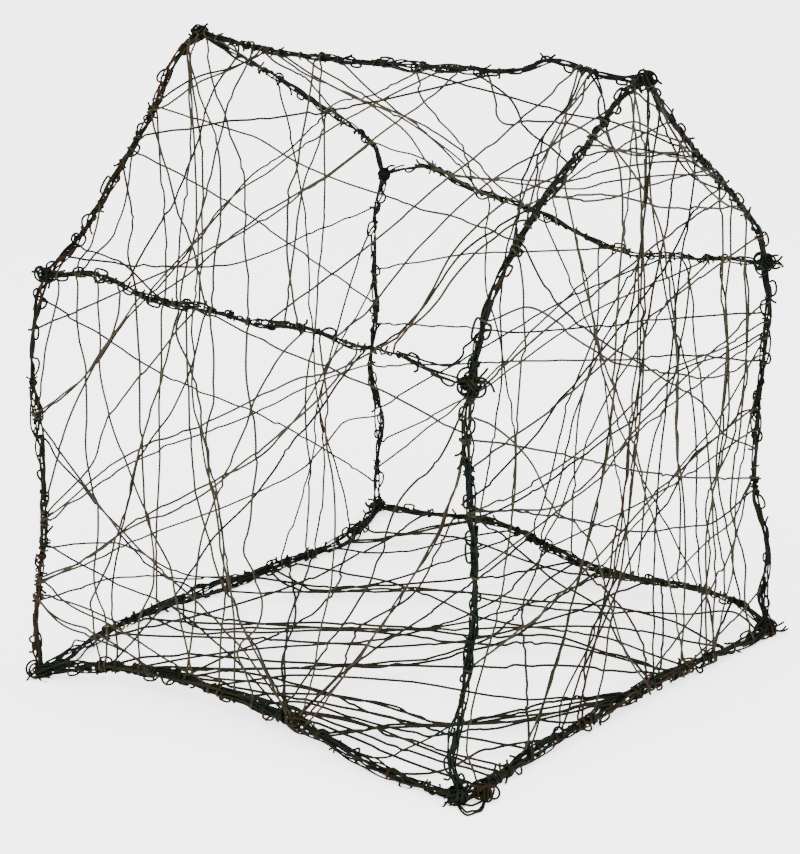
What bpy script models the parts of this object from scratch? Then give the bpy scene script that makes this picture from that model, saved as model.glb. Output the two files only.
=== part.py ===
"""Wire sculpture: a small gabled house drawn in black iron wire.

Bundles of twisted wire make the house's edges, wound knots bind them at the
corners, and single wires are strung across the walls, the gables, the roof
and the floor. The house stands on its four foot knots. The ridge runs along
Y, the front gable faces -Y, and Z is up. Sizes are in metres.
"""

import math

import bpy
import numpy as np
from mathutils import Vector

# Driving sizes
HOUSE_WIDTH = 0.406
HOUSE_LENGTH = 0.394
EAVE_HEIGHT = 0.306
RIDGE_HEIGHT = 0.471
FOOT_LIFT = 0.005
WIRE_DIAMETER = 0.0010
TOUCH_GAP = 0.0003
LAYER_GAP = 0.0003
TINY = 0.000001

# Bends are written as a number of these steps
BEND_STEP = 0.001

# How far each corner was bent from the even house, in bend steps along X, Y and Z
CORNER_BENDS = {
    "back_apex": (-8, 5, -11),
    "front_apex": (4, -2, 10),
    "back_left_eave": (7, -4, 6),
    "front_left_eave": (4, -1.5, 5),
    "front_right_eave": (-8, 9.5, -7.5),
    "back_right_eave": (4, -7, -4),
    "back_left_foot": (-15, -2.5, 0),
    "front_left_foot": (9, 6, 0),
    "front_right_foot": (-9.5, -9, 0),
    "back_right_foot": (13, 6, 0),
}

# Radius of the wound knot at each corner
KNOT_RADIUS = {
    "back_apex": 0.0060,
    "front_apex": 0.0070,
    "back_left_eave": 0.0060,
    "front_left_eave": 0.0080,
    "front_right_eave": 0.0070,
    "back_right_eave": 0.0060,
    "back_left_foot": 0.0075,
    "front_left_foot": 0.0085,
    "front_right_foot": 0.0085,
    "back_right_foot": 0.0070,
}
KNOT_RIDGE_DEPTH = 0.12
KNOT_PROFILE_POINTS = 8
KNOT_STEPS = 9
KNOT_MERGE_DISTANCE = 0.0001

# Directions in which the members sag or sway
UP = (0, 0, 1)
SIDEWAYS = (0.61, -0.79, 0)
ALONG_DEPTH = (0, 1, 0)
UP_AND_INTO_WIDTH = (0.89, 0, 0.45)
UP_AND_INTO_DEPTH = (0, 0.6, 0.8)
UP_AND_OUT = (0.5, 0, 0.87)
OUT_OF_THE_SLOPE = "out of the slope"

# Each member: start corner, end corner, bundle diameter, sway direction and
# its bends as (share of the length, bend steps)
MEMBERS = {
    "ridge": ("back_apex", "front_apex", 0.0053, UP,
              [(0.12, -7), (0.28, -10), (0.43, -9), (0.64, -7), (0.72, -5), (0.80, 5), (0.88, 2), (0.94, -2)]),
    "left_eave": ("front_left_eave", "back_left_eave", 0.0045, UP,
                  [(0.10, 2), (0.15, 9), (0.24, 5), (0.35, 10), (0.52, 4), (0.62, 6), (0.72, 2),
                   (0.86, 10), (0.95, 5)]),
    "right_eave": ("front_right_eave", "back_right_eave", 0.0050, UP,
                   [(0.12, -6), (0.30, -15), (0.38, -17), (0.50, -8), (0.62, 0), (0.76, 5), (0.89, 15),
                    (0.95, 9)]),
    "front_left_rafter": ("front_left_eave", "front_apex", 0.0070, OUT_OF_THE_SLOPE,
                          [(0.09, 16), (0.20, 29), (0.40, 33), (0.55, 30), (0.70, 21), (0.81, 17),
                           (0.92, 12)]),
    "front_right_rafter": ("front_right_eave", "front_apex", 0.0050, OUT_OF_THE_SLOPE,
                           [(0.08, 9), (0.28, 10), (0.50, 5), (0.75, 0)]),
    "back_left_rafter": ("back_left_eave", "back_apex", 0.0053, OUT_OF_THE_SLOPE,
                         [(0.10, -6), (0.22, -8), (0.45, -4), (0.65, -2), (0.80, 6), (0.93, 5)]),
    "back_right_rafter": ("back_right_eave", "back_apex", 0.0045, OUT_OF_THE_SLOPE,
                          [(0.10, 14), (0.18, 16), (0.40, 12), (0.60, 10), (0.80, 4)]),
    "front_left_post": ("front_left_foot", "front_left_eave", 0.0060, SIDEWAYS,
                        [(0.08, -8), (0.16, -5), (0.33, 2), (0.54, 5), (0.72, 2), (0.88, -3)]),
    "front_right_post": ("front_right_foot", "front_right_eave", 0.0045, SIDEWAYS,
                         [(0.08, -5), (0.20, 0), (0.40, -10), (0.55, -9), (0.76, -2), (0.92, 2)]),
    "back_left_post": ("back_left_foot", "back_left_eave", 0.0055, SIDEWAYS,
                       [(0.12, -4), (0.36, 1), (0.50, 0), (0.67, -7), (0.88, -10)]),
    "back_right_post": ("back_right_foot", "back_right_eave", 0.0055, SIDEWAYS,
                        [(0.10, -2), (0.26, 1), (0.40, -8), (0.60, -5), (0.82, -8)]),
    "front_sill": ("front_left_foot", "front_right_foot", 0.0085, UP_AND_INTO_DEPTH,
                   [(0.10, 0), (0.25, 5), (0.40, 5), (0.60, 6), (0.80, 2)]),
    "back_sill": ("back_left_foot", "back_right_foot", 0.0070, ALONG_DEPTH,
                  [(0.10, 3), (0.26, 9), (0.40, 3), (0.55, -9), (0.68, -18), (0.78, -24), (0.90, -15)]),
    "left_sill": ("front_left_foot", "back_left_foot", 0.0075, UP_AND_INTO_WIDTH,
                  [(0.12, 0), (0.25, 8), (0.36, 17), (0.55, 26), (0.79, 27), (0.90, 18)]),
    "right_sill": ("front_right_foot", "back_right_foot", 0.0065, UP_AND_OUT,
                   [(0.05, 9), (0.16, 14), (0.30, 8), (0.42, 4), (0.55, 10), (0.65, 16), (0.80, 12),
                    (0.92, 4)]),
}
MEMBER_SEGMENTS = 16
MEMBER_TURNS = 1.1
MEMBER_WAISTS = 3.1
MEMBER_WAIST_DEPTH = 0.14
LOBES = 4
LOBE_HOLLOW = 0.76

# Members with rust on them
RUSTED_MEMBERS = {"back_left_rafter", "back_left_post"}

# The seven surfaces, each with the members round it and the direction in which
# it faces someone who stands at the front left corner
ROOF_RISE = RIDGE_HEIGHT - EAVE_HEIGHT
SURFACES = {
    "left_roof": (("ridge", "front_left_rafter", "left_eave", "back_left_rafter"),
                  (-ROOF_RISE, 0, HOUSE_WIDTH / 2)),
    "right_roof": (("ridge", "front_right_rafter", "right_eave", "back_right_rafter"),
                   (-ROOF_RISE, 0, -HOUSE_WIDTH / 2)),
    "front_gable": (("front_left_rafter", "front_right_rafter", "front_right_post", "front_sill",
                     "front_left_post"), (0, -1, 0)),
    "back_gable": (("back_left_rafter", "back_right_rafter", "back_right_post", "back_sill",
                    "back_left_post"), (0, -1, 0)),
    "left_wall": (("left_eave", "front_left_post", "left_sill", "back_left_post"), (-1, 0, 0)),
    "right_wall": (("right_eave", "front_right_post", "right_sill", "back_right_post"), (-1, 0, 0)),
    "floor": (("left_sill", "front_sill", "right_sill", "back_sill"), (0, 0, 1)),
}

# Each strung wire: start member, share of its length, end member, share, and the
# wire's bends as (share, bend steps). A positive bend lies to the left of the run,
# seen from the front left corner of the house.
WIRES = {
    "left_roof": [
        ("back_left_rafter", 0.69, "front_left_rafter", 0.36,
         [(0.13, 6), (0.25, 11), (0.36, 6), (0.66, 3)]),
        ("back_left_rafter", 0.57, "ridge", 0.71, [(0.36, -2), (0.50, -5), (0.70, -3)]),
        ("ridge", 0.60, "left_eave", 0.74,
         [(0.18, 4), (0.32, 3), (0.42, 8), (0.53, 5), (0.69, 0), (0.80, 4)]),
        ("ridge", 0.28, "left_eave", 0.38, [(0.15, -3), (0.30, -7), (0.60, -14), (0.80, -10)]),
        ("left_eave", 0.20, "front_left_rafter", 0.46, [(0.50, -2)]),
    ],
    "right_roof": [
        ("ridge", 0.19, "right_eave", 0.67, [(0.30, 3), (0.60, 8)]),
        ("ridge", 0.41, "front_right_rafter", 0.62, [(0.40, 4), (0.70, -3)]),
        ("right_eave", 0.88, "front_right_rafter", 0.47, [(0.30, 5), (0.60, 8)]),
        ("ridge", 0.89, "right_eave", 0.58, [(0.25, -6), (0.60, -8)]),
    ],
    "front_gable": [
        ("front_left_post", 0.70, "front_right_post", 0.85,
         [(0.10, -6), (0.25, -7), (0.45, -3), (0.62, 9), (0.75, 4), (0.86, -1)]),
        ("front_left_rafter", 0.37, "front_right_post", 0.50,
         [(0.07, -9), (0.15, -18), (0.28, -19), (0.42, -14), (0.55, -8), (0.68, -3), (0.78, 0),
          (0.86, -7)]),
        ("front_left_post", 0.93, "front_sill", 0.59,
         [(0.12, 15), (0.25, 20), (0.38, 15), (0.52, 28), (0.65, 20), (0.76, 9), (0.88, -2)]),
        ("front_left_rafter", 0.13, "front_right_post", 0.76,
         [(0.08, 15), (0.22, 6), (0.40, -14), (0.60, -21), (0.75, -23), (0.88, -20)]),
        ("front_left_post", 0.87, "front_right_post", 0.42, [(0.30, -1), (0.50, -5), (0.78, -6)]),
        ("front_sill", 0.19, "front_right_rafter", 0.90,
         [(0.10, -11), (0.25, -16), (0.39, -22), (0.52, -16), (0.75, -14), (0.90, -3)]),
        ("front_left_rafter", 0.52, "front_right_rafter", 0.50, [(0.15, -5), (0.35, -9), (0.60, -4)]),
    ],
    "back_gable": [
        ("back_left_post", 0.95, "back_right_post", 0.07,
         [(0.06, -6), (0.15, -3), (0.30, -8), (0.40, -6), (0.52, -1)]),
        ("back_left_post", 0.38, "back_right_post", 0.44,
         [(0.11, 9), (0.22, 14), (0.31, 16), (0.42, 13), (0.62, 11), (0.80, 10), (0.92, 3)]),
        ("back_left_post", 0.65, "back_right_rafter", 0.36,
         [(0.08, -4), (0.17, -8), (0.27, 1), (0.50, 4), (0.62, 8), (0.71, 11), (0.80, 7), (0.91, -2)]),
        ("back_left_post", 0.62, "back_sill", 0.45,
         [(0.12, -6), (0.30, -10), (0.55, -12), (0.75, -13), (0.88, -10)]),
        ("back_left_rafter", 0.93, "back_sill", 0.50,
         [(0.10, 2), (0.38, -6), (0.63, -18), (0.75, -11), (0.88, 2)]),
    ],
    "left_wall": [
        ("left_eave", 0.87, "left_sill", 0.80,
         [(0.23, 0), (0.43, 15), (0.57, 33), (0.69, 33), (0.78, 24), (0.86, 7)]),
        ("left_eave", 0.36, "left_sill", 0.69,
         [(0.05, -11), (0.16, -18), (0.33, -21), (0.50, -24), (0.67, -24), (0.78, -16), (0.92, -5)]),
        ("back_left_post", 0.24, "left_eave", 0.24,
         [(0.13, -8), (0.28, -8), (0.37, -14), (0.48, -18), (0.63, -16), (0.78, -14), (0.87, -10)]),
        ("left_sill", 0.41, "left_eave", 0.34,
         [(0.06, -6), (0.20, -16), (0.31, -20), (0.42, -28), (0.55, -26), (0.65, -23), (0.75, -15),
          (0.88, -12)]),
        ("front_left_post", 0.86, "left_sill", 0.39, [(0.20, 12), (0.45, 14), (0.75, 10)]),
    ],
    "right_wall": [
        ("back_right_post", 0.56, "front_right_post", 0.87,
         [(0.15, -3), (0.40, -11), (0.58, -8), (0.75, -3)]),
        ("back_right_post", 0.43, "front_right_post", 0.74, [(0.30, 0), (0.65, 3), (0.85, 5)]),
        ("right_eave", 0.31, "right_sill", 0.38, [(0.25, 8), (0.45, 8), (0.63, 9), (0.83, 3)]),
        ("right_eave", 0.23, "right_sill", 0.23, [(0.12, 4), (0.30, 9), (0.52, 10), (0.75, 8)]),
        ("right_eave", 0.13, "right_sill", 0.57,
         [(0.15, -11), (0.32, -13), (0.50, -14), (0.70, -8), (0.86, -2)]),
    ],
    "floor": [
        ("left_sill", 0.78, "front_sill", 0.53,
         [(0.16, 6), (0.37, -20), (0.53, -58), (0.68, -52), (0.84, -14)]),
        ("left_sill", 0.70, "right_sill", 0.47,
         [(0.08, -7), (0.17, -30), (0.33, -64), (0.50, -78), (0.60, -74), (0.72, -50), (0.84, -22)]),
        ("back_sill", 0.28, "front_sill", 0.68,
         [(0.20, 6), (0.40, 24), (0.63, 28), (0.79, 40), (0.90, 15)]),
        ("back_sill", 0.62, "front_sill", 0.86,
         [(0.06, -20), (0.20, -24), (0.37, 0), (0.65, 25), (0.83, 22)]),
    ],
}
WIRE_SEGMENTS = 8
WIRE_SIDES_RESOLUTION = 1
LAYER_ORDER = (0, 1, -1, 2, -2, 3, -3)

# How strongly a surface follows the nearest member
SKIN_SHARPNESS = 3

# Finer steps for measuring along members and wires
MEMBER_SAMPLES = 120
WIRE_SAMPLES = 160
END_HALVINGS = 12
CROSSING_SAMPLES = 32


def corner_point(name):
    """Return where a corner of the house stands."""
    side = -1 if "left" in name else 1
    end = -1 if "front" in name else 1
    even = np.array([side * HOUSE_WIDTH / 2, end * HOUSE_LENGTH / 2, FOOT_LIFT])
    if "apex" in name:
        even[0] = 0
        even[2] += RIDGE_HEIGHT
    elif "eave" in name:
        even[2] += EAVE_HEIGHT
    return even + np.array(CORNER_BENDS[name]) * BEND_STEP


def smooth_bend(bends, share):
    """Read a smooth curve through the bends, with no bend at either end."""
    points = [(0, 0)] + list(bends) + [(1, 0)]
    place = np.array([point[0] for point in points], float)
    amount = np.array([point[1] for point in points], float) * BEND_STEP
    slope = np.gradient(amount, place)
    index = int(np.clip(np.searchsorted(place, share) - 1, 0, len(place) - 2))
    step = place[index + 1] - place[index]
    t = (share - place[index]) / step
    start = (2 * t ** 3 - 3 * t ** 2 + 1) * amount[index]
    end = (3 * t ** 2 - 2 * t ** 3) * amount[index + 1]
    leave = (t ** 3 - 2 * t ** 2 + t) * step * slope[index]
    arrive = (t ** 3 - t ** 2) * step * slope[index + 1]
    return start + end + leave + arrive


def unit(vector):
    return np.array(vector, float) / np.linalg.norm(vector)


def member_point(name, share):
    """Return the middle of a bundle at a share of its length."""
    start_corner, end_corner, _, sway, bends = MEMBERS[name]
    start = corner_point(start_corner)
    run = corner_point(end_corner) - start
    if sway == OUT_OF_THE_SLOPE:
        along = unit(run)
        sway = (-along[0] * along[2], 0, 1 - along[2] ** 2)
    return start + run * share + unit(sway) * smooth_bend(bends, share)


def member_path(name):
    return np.array([member_point(name, share) for share in np.linspace(0, 1, MEMBER_SAMPLES + 1)])


def member_radius(name):
    return MEMBERS[name][2] / 2


def distance_to_path(point, path):
    """Return the shortest distance from a point to a path of short straight steps."""
    steps = path[1:] - path[:-1]
    offsets = point - path[:-1]
    share = np.clip((offsets * steps).sum(1) / (steps ** 2).sum(1), 0, 1)
    return np.linalg.norm(offsets - steps * share[:, None], axis=1).min()


def new_collection(name):
    collection = bpy.data.collections.new(name)
    bpy.context.scene.collection.children.link(collection)
    return collection


def metal(name, colour, roughness, metallic):
    material = bpy.data.materials.new(name)
    material.use_nodes = True
    shader = material.node_tree.nodes["Principled BSDF"]
    shader.inputs["Base Color"].default_value = (*colour, 1)
    shader.inputs["Roughness"].default_value = roughness
    shader.inputs["Metallic"].default_value = metallic
    return material


def place_in_part(name, data, location=(0, 0, 0)):
    """Add an object to the sculpture, fastened to its stand point."""
    thing = bpy.data.objects.new(name, data)
    thing.location = location
    thing.parent = stand_point
    sculpture.objects.link(thing)
    return thing


def poly_curve(name, points):
    curve = bpy.data.curves.new(name, "CURVE")
    curve.dimensions = "3D"
    curve.twist_mode = "MINIMUM"
    spline = curve.splines.new("POLY")
    spline.points.add(len(points) - 1)
    for control, point in zip(spline.points, points):
        control.co = (*point, 1)
    curve.use_fill_caps = True
    return curve


def bundle_profile(diameter):
    """Return a guide curve: the outline of a few wires twisted together, cut across."""
    curve = bpy.data.curves.new("bundle_outline", "CURVE")
    curve.dimensions = "2D"
    curve.fill_mode = "NONE"
    spline = curve.splines.new("POLY")
    spline.points.add(2 * LOBES - 1)
    for index, control in enumerate(spline.points):
        angle = -math.pi * index / LOBES
        radius = diameter / 2 * (1 if index % 2 == 0 else LOBE_HOLLOW)
        control.co = (radius * math.cos(angle), radius * math.sin(angle), 0, 1)
    spline.use_cyclic_u = True
    outline = bpy.data.objects.new("bundle_outline", curve)
    outline.hide_render = True
    outline.display_type = "WIRE"
    guides.objects.link(outline)
    return outline


def clear_shares(name):
    """Return the shares between which a bundle is clear of the knots at its two ends."""
    path = member_path(name)
    limits = []
    for corner in MEMBERS[name][:2]:
        reach = KNOT_RADIUS[corner] + TOUCH_GAP
        away = np.linalg.norm(path - corner_point(corner), axis=1)
        order = 1 if corner == MEMBERS[name][0] else -1
        rising = away[::order]
        first = int(np.argmax(rising > reach))
        part = (reach - rising[first - 1]) / (rising[first] - rising[first - 1])
        limits.append((first - 1 + part) / MEMBER_SAMPLES)
    return limits[0], 1 - limits[1]


def add_member(name, number):
    """Add a bundle: a lobed, slowly twisting tube that swells and narrows."""
    first, last = clear_shares(name)
    shares = np.linspace(first, last, MEMBER_SEGMENTS + 1)
    curve = poly_curve(name, [member_point(name, share) for share in shares])
    curve.bevel_mode = "OBJECT"
    curve.bevel_object = bundle_profile(MEMBERS[name][2])
    for control, share in zip(curve.splines[0].points, shares):
        control.tilt = 2 * math.pi * MEMBER_TURNS * share
        waist = math.sin(2 * math.pi * MEMBER_WAISTS * share + number)
        control.radius = 1 - MEMBER_WAIST_DEPTH * (0.5 + 0.5 * waist)
    curve.materials.append(rusted_iron if name in RUSTED_MEMBERS else bundle_iron)
    return place_in_part(name, curve)


def knot_profile(radius, floor):
    """Return the side of a wound ball from top to bottom, cut flat at the floor."""
    points = []
    for index in range(KNOT_PROFILE_POINTS):
        angle = math.pi * index / (KNOT_PROFILE_POINTS - 1)
        ridged = radius * (1 - KNOT_RIDGE_DEPTH * (index % 2))
        points.append((ridged * math.sin(angle), ridged * math.cos(angle)))
    if floor is None:
        points[0] = (0, points[0][1])
        points[-1] = (0, points[-1][1])
        return points
    standing = [point for point in points if point[1] > floor + KNOT_RIDGE_DEPTH * radius]
    foot_radius = math.sqrt(radius ** 2 - floor ** 2)
    return [(0, radius)] + standing[1:] + [(foot_radius, floor), (0, floor)]


def add_knot(corner):
    """Add a wound knot, turned from its profile round the vertical or the ridge's direction."""
    is_foot = "foot" in corner
    floor = -FOOT_LIFT if is_foot else None
    points = knot_profile(KNOT_RADIUS[corner], floor)
    mesh = bpy.data.meshes.new(corner + "_knot")
    edges = [(index, index + 1) for index in range(len(points) - 1)]
    mesh.from_pydata([(x, 0, z) for x, z in points], edges, [])
    mesh.materials.append(bundle_iron)
    knot = place_in_part(corner + "_knot", mesh, corner_point(corner))
    if not is_foot:
        knot.rotation_euler = (math.pi / 2, 0, 0)
    screw = knot.modifiers.new("turn", "SCREW")
    screw.steps = KNOT_STEPS
    screw.render_steps = KNOT_STEPS
    screw.use_merge_vertices = True
    screw.merge_threshold = KNOT_MERGE_DISTANCE
    screw.use_smooth_shade = False
    return knot


class Surface:
    """A face of the house, as flat axes and a skin that its wires follow."""

    def __init__(self, name):
        self.members, facing = SURFACES[name]
        self.normal = unit(facing)
        is_level = self.normal[2] == 1
        self.across = np.array([1.0, 0, 0]) if is_level else unit(np.cross((0, 0, 1), self.normal))
        self.along = np.cross(self.normal, self.across)
        self.paths = {member: member_path(member) for member in self.members}

    def flat(self, point):
        return np.array([point @ self.across, point @ self.along])

    def skin_height(self, place):
        """Blend the heights of the members round the face, the nearest ones most."""
        total = 0.0
        weight_sum = 0.0
        for path in self.paths.values():
            flat_path = np.column_stack([path @ self.across, path @ self.along])
            steps = flat_path[1:] - flat_path[:-1]
            offsets = place - flat_path[:-1]
            share = np.clip((offsets * steps).sum(1) / (steps ** 2).sum(1), 0, 1)
            away = np.linalg.norm(offsets - steps * share[:, None], axis=1)
            nearest = int(np.argmin(away))
            heights = path[nearest:nearest + 2] @ self.normal
            height = heights[0] + (heights[1] - heights[0]) * share[nearest]
            weight = 1 / (away[nearest] + TINY) ** SKIN_SHARPNESS
            total += weight * height
            weight_sum += weight
        return total / weight_sum

    def lift(self, place, layer_height):
        """Return the point of the skin over a flat place, in its own layer."""
        height = self.skin_height(place) + layer_height
        return self.across * place[0] + self.along * place[1] + self.normal * height


class StrungWire:
    """One wire across a surface, from member to member."""

    def __init__(self, surface, row):
        self.surface = surface
        self.start_member, start_share, self.end_member, end_share, self.bends = row
        self.start = surface.flat(member_point(self.start_member, start_share))
        self.end = surface.flat(member_point(self.end_member, end_share))
        run = self.end - self.start
        self.left = unit([-run[1], run[0]])
        self.layer = 0
        self.crossings = []

    def place(self, share):
        return self.start + (self.end - self.start) * share + self.left * smooth_bend(self.bends, share)

    def point(self, share):
        layer_height = self.layer * (WIRE_DIAMETER + LAYER_GAP)
        return self.surface.lift(self.place(share), layer_height)

    def is_clear(self, share, member):
        """Tell whether the wire, cut off square at this share, stays off the member."""
        step = 0.5 / WIRE_SAMPLES
        here = self.point(share)
        direction = unit(self.point(min(share + step, 1)) - self.point(max(share - step, 0)))
        path = self.surface.paths[member]
        nearest = int(np.argmin(np.linalg.norm(path - here, axis=1)))
        nearest = min(max(nearest, 1), len(path) - 2)
        member_direction = unit(path[nearest + 1] - path[nearest - 1])
        lean = abs(direction @ member_direction)
        needed = member_radius(member) + TOUCH_GAP + WIRE_DIAMETER / 2 * lean
        return distance_to_path(here, path) >= needed

    def end_share(self, member, outward):
        """Walk from the middle towards an end and stop where the wire meets the member."""
        share = 0.5
        step = outward / WIRE_SAMPLES
        while 0 < share + step < 1 and self.is_clear(share + step, member):
            share += step
        for _ in range(END_HALVINGS):
            step /= 2
            if self.is_clear(share + step, member):
                share += step
        return share

    def shares(self):
        """Return the shares at which the wire has a point: even steps and its crossings."""
        first = self.end_share(self.start_member, -1)
        last = self.end_share(self.end_member, 1)
        even = np.linspace(first, last, WIRE_SEGMENTS + 1)
        crossings = [share for share in self.crossings if first < share < last]
        return sorted(list(even) + crossings)


def crossing_shares(one, other):
    """Return pairs of shares at which two wires of a surface cross each other."""
    shares = np.linspace(0, 1, CROSSING_SAMPLES + 1)
    first = [one.place(share) for share in shares]
    second = [other.place(share) for share in shares]
    found = []
    for i in range(len(shares) - 1):
        for j in range(len(shares) - 1):
            run = first[i + 1] - first[i]
            other_run = second[j + 1] - second[j]
            turn = run[0] * other_run[1] - run[1] * other_run[0]
            if turn == 0:
                continue
            offset = second[j] - first[i]
            t = (offset[0] * other_run[1] - offset[1] * other_run[0]) / turn
            s = (offset[0] * run[1] - offset[1] * run[0]) / turn
            if 0 <= t < 1 and 0 <= s < 1:
                step = shares[1]
                found.append((shares[i] + t * step, shares[j] + s * step))
    return found


def layered_wires(surface_name):
    """Lay each wire of a surface in a layer of its own wherever wires cross."""
    surface = Surface(surface_name)
    wires = []
    for row in WIRES[surface_name]:
        wire = StrungWire(surface, row)
        taken = set()
        for other in wires:
            for here, there in crossing_shares(wire, other):
                wire.crossings.append(here)
                other.crossings.append(there)
                taken.add(other.layer)
        wire.layer = next(layer for layer in LAYER_ORDER if layer not in taken)
        wires.append(wire)
    return wires


def add_wire(name, wire):
    curve = poly_curve(name, [wire.point(share) for share in wire.shares()])
    curve.bevel_depth = WIRE_DIAMETER / 2
    curve.bevel_resolution = WIRE_SIDES_RESOLUTION
    curve.materials.append(strung_iron)
    return place_in_part(name, curve)


def centre_over_origin():
    """Move the sculpture so that its box stands on the origin, without lifting its feet."""
    bpy.context.view_layer.update()
    graph = bpy.context.evaluated_depsgraph_get()
    corners = []
    for thing in sculpture.objects:
        if thing.type == "EMPTY":
            continue
        shown = thing.evaluated_get(graph)
        mesh = shown.to_mesh()
        corners += [shown.matrix_world @ vertex.co for vertex in mesh.vertices]
        shown.to_mesh_clear()
    spread = np.array(corners)
    middle = (spread.min(0) + spread.max(0)) / 2
    stand_point.location = Vector((-middle[0], -middle[1], 0))


for old_object in list(bpy.data.objects):
    bpy.data.objects.remove(old_object)

sculpture = new_collection("wire_house")
guides = new_collection("guides")
stand_point = bpy.data.objects.new("wire_house_stand_point", None)
sculpture.objects.link(stand_point)

bundle_iron = metal("bundle_iron", (0.030, 0.034, 0.030), 0.48, 0.75)
rusted_iron = metal("rusted_iron", (0.090, 0.050, 0.028), 0.62, 0.50)
strung_iron = metal("strung_iron", (0.045, 0.042, 0.030), 0.45, 0.75)

for number, member in enumerate(MEMBERS):
    add_member(member, number)

for corner in CORNER_BENDS:
    add_knot(corner)

for surface_name in SURFACES:
    for number, strung in enumerate(layered_wires(surface_name), start=1):
        add_wire(f"{surface_name}_wire_{number}", strung)

centre_over_origin()
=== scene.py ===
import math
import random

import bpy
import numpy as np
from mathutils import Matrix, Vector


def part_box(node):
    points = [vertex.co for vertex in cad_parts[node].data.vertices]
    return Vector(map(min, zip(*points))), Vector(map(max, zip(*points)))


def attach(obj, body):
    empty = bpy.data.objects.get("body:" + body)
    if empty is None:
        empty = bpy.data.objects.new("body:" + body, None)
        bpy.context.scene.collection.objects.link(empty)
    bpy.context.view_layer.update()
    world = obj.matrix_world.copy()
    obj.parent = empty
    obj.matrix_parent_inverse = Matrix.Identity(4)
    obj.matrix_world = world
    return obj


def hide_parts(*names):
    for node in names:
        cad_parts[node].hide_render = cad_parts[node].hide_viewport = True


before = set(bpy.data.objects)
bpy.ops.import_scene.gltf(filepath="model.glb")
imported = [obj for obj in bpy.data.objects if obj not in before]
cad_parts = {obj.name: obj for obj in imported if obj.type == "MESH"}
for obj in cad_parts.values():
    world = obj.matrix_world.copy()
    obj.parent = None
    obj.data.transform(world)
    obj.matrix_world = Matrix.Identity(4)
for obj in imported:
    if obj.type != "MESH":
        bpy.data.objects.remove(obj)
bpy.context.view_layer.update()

# Dresses the wire house. Every bundle of the frame becomes single twisted strands
# with ties, curls and cut ends, every corner a knot of wound loops, and every
# surface a web of thin strung wires whose ends are wound round the bundles.
# Lengths are in metres, angles in radians and places along a wire or a bundle in
# shares of its length, except where a name or a comment says otherwise. A value that
# holds two numbers for a random draw holds its least and its most.

MM = 0.001
TURN = 2 * math.pi
ANY_ANGLE = (0, 6.28)

# The camera, at the photograph's angle
EYE = (-1.8766, -1.4211, 1.0367)
CAMERA_RIGHT = np.array([0.6083, -0.7937, 0.0016])
CAMERA_UP = np.array([0.2690, 0.2081, 0.9404])
CAMERA_BACK = np.array([-0.7467, -0.5716, 0.3401])
LENS_MM = 138.2
SENSOR_MM = 36.0

# The wires' diameters and their number of sides
THIN_WIRE = 0.0018
BUNDLE_WIRE = 0.0015
WEB_WIRE = 0.0017
FLOOR_WEB_WIRE = 0.0020
WIRE_SIDES = 6
SAME_SPOT = 1e-6

# Steps between the points of the wires' curves
END_STEP = 0.0010
CURL_STEP = 0.0011
LOOP_STEP = 0.0012
PASSING_STEP = 0.0015
BUNDLE_STEP = 0.0020
WEB_STEP = 0.0030
STRAND_STEP = 0.0035
ROW_STEP = 0.0040

# Least gap between the rings of the frame's bundles and of its strung wires
BUNDLE_RING_GAP = 0.004
WIRE_RING_GAP = 0.0009

# Share of a solid bundle's corners, in hundredths, that lie within its radius
RADIUS_PERCENTILE = 90

# Seeds of the random draws
BUNDLE_SEED = 100
YARN_SEEDS = 50
KNOT_SEED = 300
WEB_SEED = 500

# How a bundle's strands lie. A swing is the size and the spacing of slow waves.
OPENNESS_SWING = (0.42, 0.04)
YARN_REACH = (0.50, 0.80)
YARN_TILT = (-0.4, 0.4)
YARN_TURNS = (0.6, 1.6)
YARN_PITCH = (0.045, 0.085)
YARN_REACH_SWING = (0.30, 0.03)
YARN_ANGLE_SWING = (0.5, 0.05)
STRAND_REACH = 0.62
STRAND_CROWDING = 0.16
STRAND_SWING = (0.45, 0.025)
STRAY_SWING = (0.0004, 0.012)
LOOSE_REACH = 0.95
LOOSE_REACH_SWING = (0.50, 0.02)
LOOSE_TURNS = (-2.2, 2.2)
LOOSE_ANGLE_SWING = (0.8, 0.04)

# The ties, each a close winding and an open one, and how they pull the strands in
TIE_PULL = 0.5
TIE_SPAN = 0.03
GRIP_LIMITS = (0.5, 1.5)
TIE_REACH = 0.66
TIE_STAND_OFF = 0.0005
TIE_TURNS = (1.0, 1.9)
CLOSE_PITCH = 0.0024
OPEN_PITCH = 0.0090
TIE_SLACK = (0.0004, 0.0014)
TIE_TAIL = (0.002, 0.005)

# Length of bundle to each random curl and to each slack wrap
CURL_SPACING = 0.060
WRAP_SPACING = 0.055

# The curls and cut ends. The reach is a share of the bundle's radius.
CURL_REACH = 0.75
CURL_SCALE = 0.85
CURL_STRETCH = 1.2
RANDOM_CURL_STRETCH = 3.0
RANDOM_CURL_MM = (0.8, 2.2)
CURL_WIDTH = (1.0, 2.4)
CURL_LEAST_WIDTH = 0.002
CURL_OVERHANG = (0.0, 0.38)
CURL_RUN = (0.6, 1.4)

# The slack wraps
WRAP_REACH = 0.70
WRAP_TURNS = (0.8, 2.0)
WRAP_PITCH = (0.012, 0.026)
WRAP_SLACK = (0.0004, 0.0020)

# The knots' loops, as shares of the solid knot's radius or of the largest loop
WOUND_REACH = (0.45, 1.0)
WOUND_TURNS = (1.0, 2.2)
LOOP_START = 0.6
LOOP_REACH = (0.65, 1.0)
KNOT_END_REACH = (0.4, 0.8)

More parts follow.
